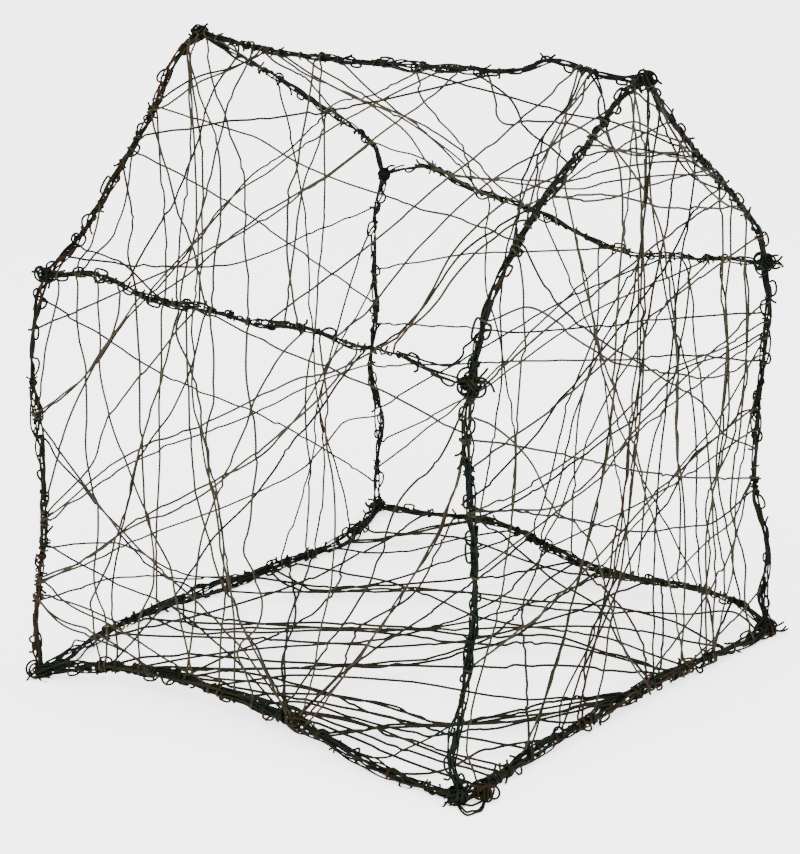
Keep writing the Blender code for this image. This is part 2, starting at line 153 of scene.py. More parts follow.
# The strung wires: their kinks, the turns of their ends and the pitch of a pair
KINK_SPACING = 0.014
KINK_SIZE = 0.0007
KINK_FREE_END = 0.012
WOUND_END_REACH = 0.80
WOUND_END_TURNS = (0.3, 0.8)
WOUND_END_PITCH = (0.0025, 0.0050)
WOUND_END_TAIL = (0.001, 0.004)
END_CLEARANCE = 0.003
PAIR_PITCH = 0.150
LAYER_MM = (1.2, 3.2)

# Share of the rusty strands in the bundles and in the knots
RUST_SHARE = {"back_left_rafter": 0.45, "back_left_post": 0.35, "ridge": 0.12, "front_sill": 0.15}
LEAST_RUST = 0.02
KNOT_RUST = 0.03
SECOND_KNOT_LOOP_RUST = 0.5
SECOND_KNOT_RUST = 0.3
BROWN_SHARE = 0.22

# The random draws from 0 to 1 below which a strung wire has each finish
WEB_RUSTY_BELOW = 0.05
WEB_BLACK_BELOW = 0.15
WEB_BROWN_BELOW = 0.25

# Each finish: the colours of the fire scale, of the barer iron and of the rust, the
# noise at which the rust starts, roughness and metal
FINISHES = {
    "black": ((0.003, 0.006, 0.005), (0.006, 0.009, 0.006), (0.016, 0.010, 0.005), 0.70, 0.50, 0.60),
    "brown": ((0.006, 0.008, 0.005), (0.012, 0.011, 0.006), (0.024, 0.012, 0.006), 0.62, 0.55, 0.50),
    "rusty": ((0.010, 0.008, 0.005), (0.020, 0.010, 0.006), (0.034, 0.014, 0.007), 0.54, 0.65, 0.35),
    "olive": ((0.013, 0.014, 0.009), (0.026, 0.023, 0.014), (0.044, 0.024, 0.012), 0.60, 0.55, 0.40),
}
FINISH_NAMES = list(FINISHES)

# Noises of the wires' surface: scale, detail and roughness
RUST_PATCHES = (26, 4, 0.6)
GRAIN = (900, 3, 0.6)
WEAR = (240, 4, 0.5)
PITS = (1600, 4, 0.65)
PIT_DEPTH = 0.00012
PIT_STRENGTH = 0.35

# Between these noises the fire scale fades, and over this much noise the rust comes
SCALE_FADE = (0.34, 0.50)
RUST_FADE = 0.16

# The grain's noises and shades, and the change of roughness between two noises
GRAIN_SHADES = [(0.30, (0.55, 0.55, 0.55)), (0.70, (1.35, 1.30, 1.22))]
GRAIN_STRENGTH = 0.7
WEAR_NOISE = (0.3, 0.7)
WEAR_CHANGE = (-0.12, 0.14)

# How dark the wires stay where they turn away from the viewer
EDGE_GLOSS = (0.10, 0.10, 0.10)
EDGE_LEVEL = 0.15

# The studio: floor, light and the camera's range
WHITE = (1, 1, 1, 1)
FLOOR_SIZE = 120
PAPER_COLOUR = (0.93, 0.93, 0.93, 1)
PAPER_ROUGHNESS = 0.9
PAPER_GLOW = 1.6
SKY_STRENGTH = 2.6
LIGHT_SIZE = 3.0
LIGHT_AIM = (0, 0, 0.2)
CLIP_RANGE = (0.05, 200)

# The frame's members and the corners that they join
MEMBERS = {
    "ridge": ("back_apex", "front_apex"),
    "left_eave": ("front_left_eave", "back_left_eave"),
    "right_eave": ("front_right_eave", "back_right_eave"),
    "front_left_rafter": ("front_left_eave", "front_apex"),
    "front_right_rafter": ("front_right_eave", "front_apex"),
    "back_left_rafter": ("back_left_eave", "back_apex"),
    "back_right_rafter": ("back_right_eave", "back_apex"),
    "front_left_post": ("front_left_foot", "front_left_eave"),
    "front_right_post": ("front_right_foot", "front_right_eave"),
    "back_left_post": ("back_left_foot", "back_left_eave"),
    "back_right_post": ("back_right_foot", "back_right_eave"),
    "front_sill": ("front_left_foot", "front_right_foot"),
    "back_sill": ("back_left_foot", "back_right_foot"),
    "left_sill": ("front_left_foot", "back_left_foot"),
    "right_sill": ("front_right_foot", "back_right_foot"),
}
CORNERS = sorted({corner for pair in MEMBERS.values() for corner in pair})

# The surfaces: the members on their sides, and the way that the skin rises
ROOF_RISE = 0.165
HALF_WIDTH = 0.203
SURFACES = {
    "left_roof": ({"top": "ridge", "front": "front_left_rafter", "low": "left_eave",
                   "back": "back_left_rafter"}, (-ROOF_RISE, 0, HALF_WIDTH)),
    "right_roof": ({"top": "ridge", "front": "front_right_rafter", "low": "right_eave",
                    "back": "back_right_rafter"}, (-ROOF_RISE, 0, -HALF_WIDTH)),
    "front_gable": ({"slope": "front_left_rafter", "far_slope": "front_right_rafter",
                     "far": "front_right_post", "low": "front_sill", "near": "front_left_post"}, (0, -1, 0)),
    "back_gable": ({"slope": "back_left_rafter", "far_slope": "back_right_rafter",
                    "far": "back_right_post", "low": "back_sill", "near": "back_left_post"}, (0, -1, 0)),
    "left_wall": ({"top": "left_eave", "front": "front_left_post", "low": "left_sill",
                   "back": "back_left_post"}, (-1, 0, 0)),
    "right_wall": ({"top": "right_eave", "front": "front_right_post", "low": "right_sill",
                    "back": "back_right_post"}, (-1, 0, 0)),
    "floor": ({"left": "left_sill", "front": "front_sill", "right": "right_sill", "back": "back_sill"},
              (0, 0, 1)),
}

# How each bundle is made: how wide its strands spread as a share of the frame's own
# bundle, yarns, strands in a yarn, loose strands, and the places of its ties
BUNDLES = {
    "ridge": (0.80, 2, 2, 2, (0.12, 0.44, 0.66)),
    "left_eave": (0.82, 2, 1, 3, (0.24, 0.55, 0.86)),
    "right_eave": (0.80, 2, 1, 3, (0.15, 0.62, 0.86)),
    "front_left_rafter": (0.66, 3, 2, 2, (0.06, 0.13, 0.72)),
    "front_right_rafter": (0.68, 2, 1, 3, (0.10, 0.55)),
    "back_left_rafter": (0.86, 2, 2, 2, (0.21, 0.30, 0.68)),
    "back_right_rafter": (0.88, 2, 1, 3, (0.20, 0.70)),
    "front_left_post": (1.0, 2, 2, 5, (0.40, 0.62, 0.82)),
    "front_right_post": (0.93, 2, 2, 2, (0.42, 0.65)),
    "back_left_post": (0.90, 2, 2, 2, (0.30, 0.46, 0.74)),
    "back_right_post": (0.80, 2, 1, 3, (0.14, 0.60)),
    "front_sill": (0.95, 3, 3, 4, (0.10, 0.40, 0.70)),
    "back_sill": (1.08, 3, 2, 6, (0.28, 0.72, 0.88)),
    "left_sill": (1.0, 3, 2, 7, (0.08, 0.45, 0.84)),
    "right_sill": (0.85, 2, 3, 2, (0.16, 0.60)),
}


def unit(vector):
    """Return a vector of the same direction and of length one."""
    vector = np.array(vector, float)
    return vector / np.linalg.norm(vector)


def unit_rows(vectors):
    """Return vectors of length one, row by row."""
    return vectors / np.linalg.norm(vectors, axis=1)[:, None]


def directions(path):
    """Return the direction of a path at each of its points."""
    return unit_rows(np.gradient(path, axis=0))


def reach_along(path):
    """Return how far along a path each of its points lies."""
    return np.concatenate([[0], np.cumsum(np.linalg.norm(np.diff(path, axis=0), axis=1))])


def smooth_curve(known, values, wanted):
    """Read a smooth curve through rows of values at known places, at the wanted places."""
    slope = np.gradient(values, known, axis=0)
    index = np.clip(np.searchsorted(known, wanted, side="right") - 1, 0, len(known) - 2)
    step = (known[index + 1] - known[index])[:, None]
    t = (wanted - known[index])[:, None] / step
    start = (2 * t ** 3 - 3 * t ** 2 + 1) * values[index]
    end = (3 * t ** 2 - 2 * t ** 3) * values[index + 1]
    leave = (t ** 3 - 2 * t ** 2 + t) * step * slope[index]
    arrive = (t ** 3 - t ** 2) * step * slope[index + 1]
    return start + end + leave + arrive


def smooth_through(points, spacing):
    """Return points at this spacing on a smooth curve through the given points."""
    points = np.array(points, float)
    reach = reach_along(points)
    wanted = np.linspace(0, reach[-1], max(3, int(reach[-1] / spacing) + 1))
    return smooth_curve(reach, points, wanted)


def node_points(name):
    """Return the places of a frame node's corners, each once."""
    places = [tuple(vertex.co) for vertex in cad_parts[name].data.vertices]
    return np.unique(np.round(places, 5), axis=0)


def ring_middles(points, start, end, gap):
    """Return the middles of a tube's rings, in order from start to end."""
    height = (points - start) @ unit(end - start)
    order = np.argsort(height)
    breaks = np.where(np.diff(height[order]) > gap)[0] + 1
    return np.array([group.mean(0) for group in np.split(points[order], breaks)])


def corner_point(corner):
    """Return the middle of a corner's knot. A foot knot is cut off at the floor."""
    low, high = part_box(corner + "_knot")
    middle = (np.array(low) + np.array(high)) / 2
    if "foot" in corner:
        middle[2] = high[2] - (high[0] - low[0]) / 2
    return middle


def wander(rng, size, spacing):
    """Return a smooth random function of the distance along a wire, within about this size."""
    waves = []
    for stretch in (1.0, 1.7, 2.9):
        waves.append((TURN / (spacing * 2 * stretch * rng.uniform(0.8, 1.25)), rng.uniform(0, TURN),
                      rng.uniform(0.3, 0.6)))
    return lambda distance: size * sum(
        share * np.sin(rate * distance + phase) for rate, phase, share in waves)


class Member:
    """A bundle of the frame: its middle line from corner to corner, and its radius."""

    def __init__(self, name):
        start, end = (corners[corner] for corner in MEMBERS[name])
        points = node_points(name)
        middles = ring_middles(points, start, end, BUNDLE_RING_GAP)
        self.path = smooth_through([start, *middles, end], BUNDLE_STEP)
        self.tangents = directions(self.path)
        self.left = unit_rows(np.cross(CAMERA_BACK, self.tangents))
        self.front = np.cross(self.tangents, self.left)
        self.length = np.linalg.norm(np.diff(self.path, axis=0), axis=1).sum()
        away = [np.linalg.norm(self.path - point, axis=1).min() for point in points]
        self.radius = float(np.percentile(away, RADIUS_PERCENTILE)) * BUNDLES[name][0]

    def read(self, table, share):
        """Read a table of the path's points at any share of the length."""
        place = np.clip(share, 0, 1) * (len(self.path) - 1)
        return np.column_stack([np.interp(place, np.arange(len(table)), column) for column in table.T])

    def spots(self, share, left, front):
        """Return points beside the middle line, offset to the left of the run and to the front."""
        share, left, front = np.broadcast_arrays(*np.atleast_1d(share, left, front))
        middle = self.read(self.path, share)
        past = np.where(share < 0, share, np.where(share > 1, share - 1, 0)) * self.length
        middle = middle + self.read(self.tangents, share) * past[:, None]
        leftward = self.read(self.left, share) * left[:, None]
        frontward = self.read(self.front, share) * front[:, None]
        return middle + leftward + frontward

    def round_spots(self, share, out, angle):
        """Return points round the middle line. Angle 0 is to the left and 90 degrees to the front."""
        return self.spots(share, out * np.cos(angle), out * np.sin(angle))


class WireMesh:
    """Collects round wires and turns them into one piece."""

    def __init__(self):
        self.points = []
        self.faces = []
        self.finishes = []
        self.count = 0

    def add(self, path, diameter, finish):
        """Add a round wire along a path. No part of it goes below the floor."""
        path = np.asarray(path, float)
        keep = np.concatenate([[True], np.linalg.norm(np.diff(path, axis=0), axis=1) > SAME_SPOT])
        path = path[keep]
        tangents = directions(path)
        normal = np.cross(tangents[0], (0.31, 0.52, 0.79))
        normals = []
        for tangent in tangents:
            normal = normal - tangent * (normal @ tangent)
            normal = normal / math.sqrt(normal @ normal)
            normals.append(normal)
        normals = np.array(normals)
        sides = np.cross(tangents, normals)
        rings = []
        for index in range(WIRE_SIDES):
            angle = TURN * index / WIRE_SIDES
            rings.append(path + (normals * math.cos(angle) + sides * math.sin(angle)) * diameter / 2)
        rings = np.stack(rings, axis=1)
        rings[:, :, 2] = np.maximum(rings[:, :, 2], 0.0)
        self.points.append(rings.reshape(-1, 3))
        first = self.count
        for ring in range(len(path) - 1):
            base = first + ring * WIRE_SIDES
            for index in range(WIRE_SIDES):
                after = (index + 1) % WIRE_SIDES
                self.faces.append((base + index, base + after, base + WIRE_SIDES + after,
                                   base + WIRE_SIDES + index))
        last = first + (len(path) - 1) * WIRE_SIDES
        self.faces.append(tuple(first + index for index in reversed(range(WIRE_SIDES))))
        self.faces.append(tuple(last + index for index in range(WIRE_SIDES)))
        self.count += len(path) * WIRE_SIDES
        self.finishes += [FINISH_NAMES.index(finish)] * (len(self.faces) - len(self.finishes))

    def make(self, name, nodes):
        """Make the piece that takes the place of these nodes."""
        mesh = bpy.data.meshes.new(name)
        mesh.from_pydata(np.concatenate(self.points).tolist(), [], self.faces)
        for finish in FINISH_NAMES:
            mesh.materials.append(materials[finish])
        mesh.polygons.foreach_set("material_index", self.finishes)
        mesh.polygons.foreach_set("use_smooth", [True] * len(self.faces))
        mesh.update()
        piece = bpy.data.objects.new(name, mesh)
        bpy.context.scene.collection.objects.link(piece)
        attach(piece, "root")
        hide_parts(*nodes)


def pick_finish(rng, rust):
    """Pick a strand's finish: the more rust, the more often brown or rusty."""
    draw = rng.random()
    if draw < rust:
        return "rusty"
    if draw < BROWN_SHARE + rust:
        return "brown"
    return "black"


def pick_web_finish(rng, surface_name):
    """Pick a strung wire's finish: darker ones on the floor, paler ones elsewhere."""
    draw = rng.random()
    if draw < WEB_RUSTY_BELOW:
        return "rusty"
    if draw < WEB_BLACK_BELOW:
        return "black"
    return "brown" if surface_name == "floor" or draw < WEB_BROWN_BELOW else "olive"


def coordinates(tree):
    """Return the object's coordinates in a material's tree, from one node for all."""
    for node in tree.nodes:
        if node.type == "TEX_COORD":
            return node.outputs["Object"]
    return tree.nodes.new("ShaderNodeTexCoord").outputs["Object"]


def noise_node(tree, scale, detail, roughness):
    """Return the value of a noise in the object's coordinates."""
    node = tree.nodes.new("ShaderNodeTexNoise")
    node.inputs["Scale"].default_value = scale
    node.inputs["Detail"].default_value = detail
    node.inputs["Roughness"].default_value = roughness
    tree.links.new(coordinates(tree), node.inputs["Vector"])
    return node.outputs["Fac"]


def ramp_node(tree, value, stops):
    """Turn a value into a colour through stops of (place, colour)."""
    node = tree.nodes.new("ShaderNodeValToRGB")
    ramp = node.color_ramp
    while len(ramp.elements) < len(stops):
        ramp.elements.new(0.5)
    for element, (place, colour) in zip(ramp.elements, stops):
        element.position = place
        element.color = (*colour, 1)
    tree.links.new(value, node.inputs["Fac"])
    return node.outputs["Color"]


def iron_material(name, scale_colour, middle_colour, rust_colour, rust_start, roughness, metallic):
    """Annealed iron wire: dark fire scale, with rust in patches and fine pits."""
    material = bpy.data.materials.new(name)
    material.use_nodes = True
    tree = material.node_tree
    shader = tree.nodes["Principled BSDF"]
    scale_end, middle_start = SCALE_FADE
    patches = noise_node(tree, *RUST_PATCHES)
    colour = ramp_node(tree, patches, [(scale_end, scale_colour), (middle_start, middle_colour),
                                       (rust_start, middle_colour), (rust_start + RUST_FADE, rust_colour)])
    grain = noise_node(tree, *GRAIN)
    mix = tree.nodes.new("ShaderNodeMix")
    mix.data_type = "RGBA"
    mix.blend_type = "MULTIPLY"
    mix.inputs["Factor"].default_value = GRAIN_STRENGTH
    shade = ramp_node(tree, grain, GRAIN_SHADES)
    tree.links.new(colour, mix.inputs["A"])
    tree.links.new(shade, mix.inputs["B"])
    tree.links.new(mix.outputs["Result"], shader.inputs["Base Color"])
    rough = tree.nodes.new("ShaderNodeMapRange")
    rough.inputs["From Min"].default_value, rough.inputs["From Max"].default_value = WEAR_NOISE
    rough.inputs["To Min"].default_value = roughness + WEAR_CHANGE[0]
    rough.inputs["To Max"].default_value = roughness + WEAR_CHANGE[1]
    tree.links.new(noise_node(tree, *WEAR), rough.inputs["Value"])
    tree.links.new(rough.outputs["Result"], shader.inputs["Roughness"])
    bump = tree.nodes.new("ShaderNodeBump")
    bump.inputs["Strength"].default_value = PIT_STRENGTH
    bump.inputs["Distance"].default_value = PIT_DEPTH
    tree.links.new(noise_node(tree, *PITS), bump.inputs["Height"])
    tree.links.new(bump.outputs["Normal"], shader.inputs["Normal"])
    shader.inputs["Metallic"].default_value = metallic
    shader.inputs["Specular Tint"].default_value = (*EDGE_GLOSS, 1)
    shader.inputs["Specular IOR Level"].default_value = EDGE_LEVEL
    return material


materials = {name: iron_material(name + "_iron", *finish) for name, finish in FINISHES.items()}
corners = {corner: corner_point(corner) for corner in CORNERS}
members = {name: Member(name) for name in MEMBERS}


def helix(member, share, turns, out, pitch, end_angle, sense):
    """Return a winding round a bundle that ends at a share and angle."""
    count = max(6, int(abs(turns) * 9))
    t = np.linspace(0, 1, count)
    angle = end_angle - sense * TURN * turns * (1 - t)
    shares = share - turns * pitch * (1 - t) / member.length
    return member.round_spots(shares, out, angle)


def strand_offsets(member, shares, rng, yarn_out, yarn_angle, yarn_turns, strand_out, strand_angle, pitch):
    """Return a strand's offsets to the left and the front of its bundle's middle line."""
    distance = shares * member.length
    out = yarn_out * (1 + wander(rng, *YARN_REACH_SWING)(distance))
    angle = yarn_angle + TURN * yarn_turns * shares + wander(rng, *YARN_ANGLE_SWING)(distance)
    own_out = strand_out * (1.1 + wander(rng, *STRAND_SWING)(distance))
    own_angle = strand_angle + TURN * distance / pitch
    left = out * np.cos(angle) + own_out * np.cos(own_angle)
    front = out * np.sin(angle) + own_out * np.sin(own_angle)
    return left, front


def tie_grip(shares, ties, openness):
    """Return how far the bundle is open at each share: least at a tie."""
    grip = openness.copy()
    for tie in ties:
        grip -= TIE_PULL * np.exp(-((shares - tie) / TIE_SPAN) ** 2)
    return np.clip(grip, *GRIP_LIMITS)


def add_bundle(name, number):
    """Dress one bundle of the frame."""
    rng = random.Random(BUNDLE_SEED + number)
    member = members[name]
    _, yarns, strands, loose, ties = BUNDLES[name]
    rust = RUST_SHARE.get(name, LEAST_RUST)
    wires = WireMesh()
    reach = member.radius
    shares = np.linspace(-0.006, 1.006, int(member.length / STRAND_STEP))
    open_at = wander(rng, *OPENNESS_SWING)
    grip = tie_grip(shares, ties, 1.0 + open_at(shares * member.length))
    for yarn in range(yarns):
        yarn_out = reach * rng.uniform(*YARN_REACH)
        yarn_angle = TURN * yarn / yarns + rng.uniform(*YARN_TILT)
        yarn_turns = rng.choice((-1, 1)) * rng.uniform(*YARN_TURNS)
        pitch = rng.uniform(*YARN_PITCH) * rng.choice((-1, 1))
        for strand in range(strands):
            strand_out = BUNDLE_WIRE * (STRAND_REACH + STRAND_CROWDING * strands * rng.uniform(0.5, 1))
            strand_angle = TURN * strand / strands
            yarn_rng = random.Random(number * YARN_SEEDS + yarn)
            left, front = strand_offsets(member, shares, yarn_rng, yarn_out, yarn_angle, yarn_turns,
                                         strand_out, strand_angle, pitch)
            stray = wander(rng, *STRAY_SWING)(shares * member.length)
            path = member.spots(shares, left * grip + stray, front * grip - stray)
            wires.add(path, BUNDLE_WIRE, pick_finish(rng, rust))
    for _ in range(loose):
        first = rng.choice((-0.004, rng.uniform(0.05, 0.5)))
        last = rng.choice((1.004, rng.uniform(0.5, 0.95)))
        some = np.linspace(first, last, int(member.length * (last - first) / STRAND_STEP))
        out = reach * (LOOSE_REACH + wander(rng, *LOOSE_REACH_SWING)(some * member.length))
        angle = rng.uniform(*ANY_ANGLE) + TURN * rng.uniform(*LOOSE_TURNS) * some
        angle = angle + wander(rng, *LOOSE_ANGLE_SWING)(some * member.length)
        some_grip = tie_grip(some, ties, 1.0 + open_at(some * member.length))
        wires.add(member.round_spots(some, out * some_grip, angle), BUNDLE_WIRE, pick_finish(rng, rust))
    for tie in ties:
        sense = rng.choice((-1, 1))
        for slack, pitch in ((0, CLOSE_PITCH), (rng.uniform(*TIE_SLACK), OPEN_PITCH)):
            turns = rng.uniform(*TIE_TURNS)
            winding = helix(member, tie, turns, reach * TIE_REACH + TIE_STAND_OFF + slack,
                            pitch * rng.uniform(0.8, 1.3), rng.uniform(*ANY_ANGLE), sense)
            tail = winding[-1] + unit(winding[-1] - winding[-3]) * rng.uniform(*TIE_TAIL)
            wires.add(smooth_through([*winding, tail], END_STEP), BUNDLE_WIRE, pick_finish(rng, rust))
    for _ in range(int(member.length / CURL_SPACING)):
        place = rng.uniform(0.03, 0.97)
        wires.add(curl(member, place, rng.uniform(*ANY_ANGLE), rng.uniform(*RANDOM_CURL_MM) * MM, rng,
                       RANDOM_CURL_STRETCH), THIN_WIRE, pick_finish(rng, rust))
    for _ in range(int(member.length / WRAP_SPACING)):
        wires.add(slack_wrap(member, rng.uniform(0.06, 0.97), rng), BUNDLE_WIRE, pick_finish(rng, rust))
    for strand_maker, table in ((curl, CURLS), (cut_end, CUT_ENDS)):
        for place, angle, size in table[name]:
            wires.add(strand_maker(member, place / 100, math.radians(angle), size * MM, rng), THIN_WIRE,
                      pick_finish(rng, rust))
    wires.make(name + "_strands", [name])


def slack_wrap(member, share, rng):
    """A strand wound loosely round the bundle, slack in some places and close in others."""
    turns = rng.uniform(*WRAP_TURNS)
    pitch = rng.uniform(*WRAP_PITCH)
    slack = rng.uniform(*WRAP_SLACK)
    start = rng.uniform(*ANY_ANGLE)
    sense = rng.choice((-1, 1))
    t = np.linspace(0, 1, int(turns * 14))
    angle = start + sense * TURN * turns * t
    bulge = 0.5 + 0.5 * np.sin(TURN * turns * t * rng.uniform(0.7, 1.3) + start)
    out = member.radius * WRAP_REACH + slack * bulge * np.sin(math.pi * t) ** 0.3
    places = share + turns * pitch * (t - 0.5) / member.length
    return smooth_through(member.round_spots(np.clip(places, 0.01, 0.99), out, angle), CURL_STEP)


def curl(member, share, angle, size, rng, stretch=CURL_STRETCH):
    """A strand that runs along the bundle, stands out of it in a loop and runs on."""
    reach = member.radius * CURL_REACH
    size = size * CURL_SCALE
    width = stretch * (size * rng.uniform(*CURL_WIDTH) + CURL_LEAST_WIDTH)
    overhang = rng.uniform(*CURL_OVERHANG) / stretch
    lean = rng.uniform(-0.5, 0.5)
    run_in = rng.uniform(*CURL_RUN)
    run_on = rng.uniform(*CURL_RUN)
    points = []
    for t in np.linspace(-run_in, 1 + run_on, 30):
        middle = min(max(t, 0), 1)
        rise = math.sin(math.pi * middle) ** 0.8
        along = (t - 0.5) - overhang * math.sin(TURN * middle) + lean * rise * 0.5
        points.append((share + along * width / member.length, reach + rise * size,
                       angle + (t - 0.5) * 0.5 * (1 if 0 < t < 1 else 1.6)))
    spots = [member.round_spots(place, out, turn)[0] for place, out, turn in points]
    return smooth_through(spots, CURL_STEP)


def cut_end(member, share, angle, size, rng):
    """A strand that runs along the bundle, turns away from it and is cut off."""
    reach = member.radius * CURL_REACH
    onward = rng.choice((-1, 1))
    hook = rng.uniform(-0.5, 0.8) * size
    points = []
    for along, rise, turn in CUT_END_ROWS:
        place = share + onward * (along + hook * rise ** 2) / member.length
        points.append(member.round_spots(place, reach + size * rise, angle + turn)[0])
    return smooth_through(points, END_STEP)


# A cut end's course: run along the bundle, share of its rise, and turn round the bundle
CUT_END_ROWS = [
    (-0.012, 0.0, -0.9),
    (-0.006, 0.0, -0.4),
    (-0.0015, 0.12, -0.1),
    (0.0005, 0.5, 0),
    (0.001, 1.0, 0),
]

# Curls on each bundle: place in hundredths of the length, angle round it in degrees
# (0 is left of the run and 90 towards the viewer) and size in millimetres
CURLS = {
    "ridge": [(12, 0, 2.5), (29, 0, 3), (44, 10, 3.5), (52, 0, 2.5), (37, 180, 3.5), (84, 180, 4),
              (79, 0, 3.5), (95, 180, 3), (20, 160, 2), (58, 0, 2)],
    "left_eave": [(32, 180, 5), (65, 180, 3), (66, 0, 3), (73, 0, 4), (79, 0, 3.5), (86, 180, 4.5),
                  (86, 0, 4), (92, 180, 4), (96, 0, 4), (5, 0, 4), (13, 180, 3), (45, 0, 3),
                  (55, 180, 2.5)],
    "right_eave": [(10, 180, 3), (28, 0, 3), (36, 180, 4), (55, 0, 3), (72, 0, 4), (82, 180, 3),
                   (92, 0, 4)],
    "front_left_rafter": [(13, 0, 5), (13, 180, 5), (35, 180, 5), (29, 180, 4), (68, 0, 4), (85, 180, 4),
                          (89, 0, 4), (5, 0, 3), (47, 0, 3), (57, 180, 3)],
    "front_right_rafter": [(8, 180, 5), (15, 0, 3), (30, 180, 4), (45, 0, 3), (62, 0, 4), (74, 180, 4),
                           (88, 0, 4), (93, 180, 3)],
    "back_left_rafter": [(4, 0, 5), (17, 0, 4), (17, 180, 4), (24, 0, 5), (37, 0, 4), (41, 180, 3),
                         (52, 180, 5), (79, 0, 5), (90, 180, 3), (60, 0, 3)],
    "back_right_rafter": [(15, 0, 3), (35, 180, 4), (50, 0, 3), (62, 180, 3), (85, 180, 4)],
    "front_left_post": [(60, 0, 4.5), (64, 0, 4), (73, 0, 4), (8, 0, 4), (4, 180, 4), (90, 180, 4),
                        (93, 0, 4), (50, 180, 2.5), (30, 0, 2.5)],
    "front_right_post": [(88, 0, 5), (75, 180, 5), (54, 180, 4.5), (36, 180, 4.5), (93, 180, 6), (20, 0, 3),
                         (65, 0, 3), (8, 180, 4)],
    "back_left_post": [(93, 180, 5), (95, 0, 4.5), (86, 180, 4), (77, 180, 5), (66, 180, 4), (50, 0, 3),
                       (28, 0, 3), (8, 0, 4)],
    "back_right_post": [(93, 180, 4), (84, 0, 4), (72, 180, 4), (60, 0, 3), (40, 180, 3), (22, 0, 4),
                        (8, 180, 5)],
    "front_sill": [(60, 0, 5), (62, 180, 4), (75, 180, 5), (72, 0, 5), (80, 0, 4), (30, 0, 4), (38, 180, 5),
                   (44, 180, 4), (92, 0, 4), (16, 180, 5), (22, 0, 4), (50, 0, 3)],
    "back_sill": [(62, 0, 4), (83, 0, 5), (90, 180, 5), (86, 0, 4), (20, 0, 3), (45, 180, 3)],
    "left_sill": [(12, 0, 5), (47, 0, 4.5), (72, 0, 5), (76, 0, 5), (70, 180, 5), (86, 180, 5),
                  (40, 180, 4.5), (93, 0, 4), (96, 180, 5), (25, 180, 3), (58, 0, 3)],
    "right_sill": [(56, 0, 4), (56, 180, 4), (12, 0, 4), (30, 180, 3), (78, 0, 4), (92, 180, 4)],
}

# Cut ends that stand out of each bundle, written as the curls are
CUT_ENDS = {
    "ridge": [(79, 5, 6), (80, 0, 4), (35, 0, 3), (97, 170, 4)],
    "left_eave": [(37, 180, 5), (38, 0, 4), (11, 0, 5), (65, 0, 4)],
    "right_eave": [(33, 0, 4), (70, 180, 4), (90, 180, 4)],
    "front_left_rafter": [(36, 180, 5), (90, 0, 3)],
    "front_right_rafter": [(22, 180, 4), (40, 180, 4), (68, 180, 4), (82, 180, 4)],
    "back_left_rafter": [(22, 180, 5), (29, 180, 4), (45, 0, 3)],
    "back_right_rafter": [(28, 0, 4), (55, 0, 4)],
    "front_left_post": [(84, 0, 6), (82, 0, 5), (73, 0, 5), (5, 0, 6), (3, 180, 5)],
    "front_right_post": [(90, 180, 5), (30, 180, 4), (60, 0, 4)],
    "back_left_post": [(65.5, 180, 6), (40, 180, 5), (36, 180, 5), (33, 180, 4), (21, 180, 5), (5, 0, 5)],
    "back_right_post": [(30, 0, 5), (55, 180, 4), (90, 0, 5)],
    "front_sill": [(10, 0, 6), (11, 30, 7), (12, 180, 6), (14, 0, 4), (17, 0, 5), (20, 0, 5), (70, 0, 7),
                   (71, 20, 6), (79, 0, 6), (42, 180, 5), (88, 180, 4)],
    "back_sill": [(63, 0, 5), (50, 180, 4), (94, 0, 5)],
    "left_sill": [(47, 0, 5), (40, 180, 6), (41, 200, 5), (72, 0, 5), (30, 0, 4), (88, 0, 4)],
    "right_sill": [(40, 0, 4), (70, 180, 4)],
}

# How far a knot lies to the left of its corner, as the viewer sees it
KNOT_SHIFTS = {"front_left_foot": 0.005, "back_left_eave": 0.001}

# Each knot: wound loops, loose loops and the largest radius of these in
# millimetres, cut ends, and how far its passing wires stand off, in bundle radii
KNOTS = {
    "back_apex": (6, 3, 8, 3, 1.1),
    "front_apex": (6, 4, 9, 4, 1.2),
    "back_left_eave": (3, 4, 10, 4, 1.5),
    "front_left_eave": (9, 6, 13, 6, 1.3),
    "front_right_eave": (5, 5, 11, 5, 1.5),
    "back_right_eave": (4, 3, 7, 2, 1.2),
    "back_left_foot": (4, 5, 12, 4, 1.7),
    "front_left_foot": (8, 3, 9, 7, 1.2),
    "front_right_foot": (6, 6, 12, 5, 1.5),
    "back_right_foot": (5, 3, 9, 3, 1.2),
}

# The second knot of the front left foot: where it lies from that corner, how high,
# its loops' radii, and how far the wires from knot to knot sag or rise
SECOND_KNOT = (0.0120, -0.0115, 0.0)
SECOND_KNOT_HEIGHT = 0.0065
SECOND_KNOT_RADII = (0.0030, 0.0060)
SECOND_KNOT_LOOPS = (0.008, 0.011)
SAGS = (-0.0125, -0.0105, -0.0070, -0.0020, 0.0030, 0.0060)


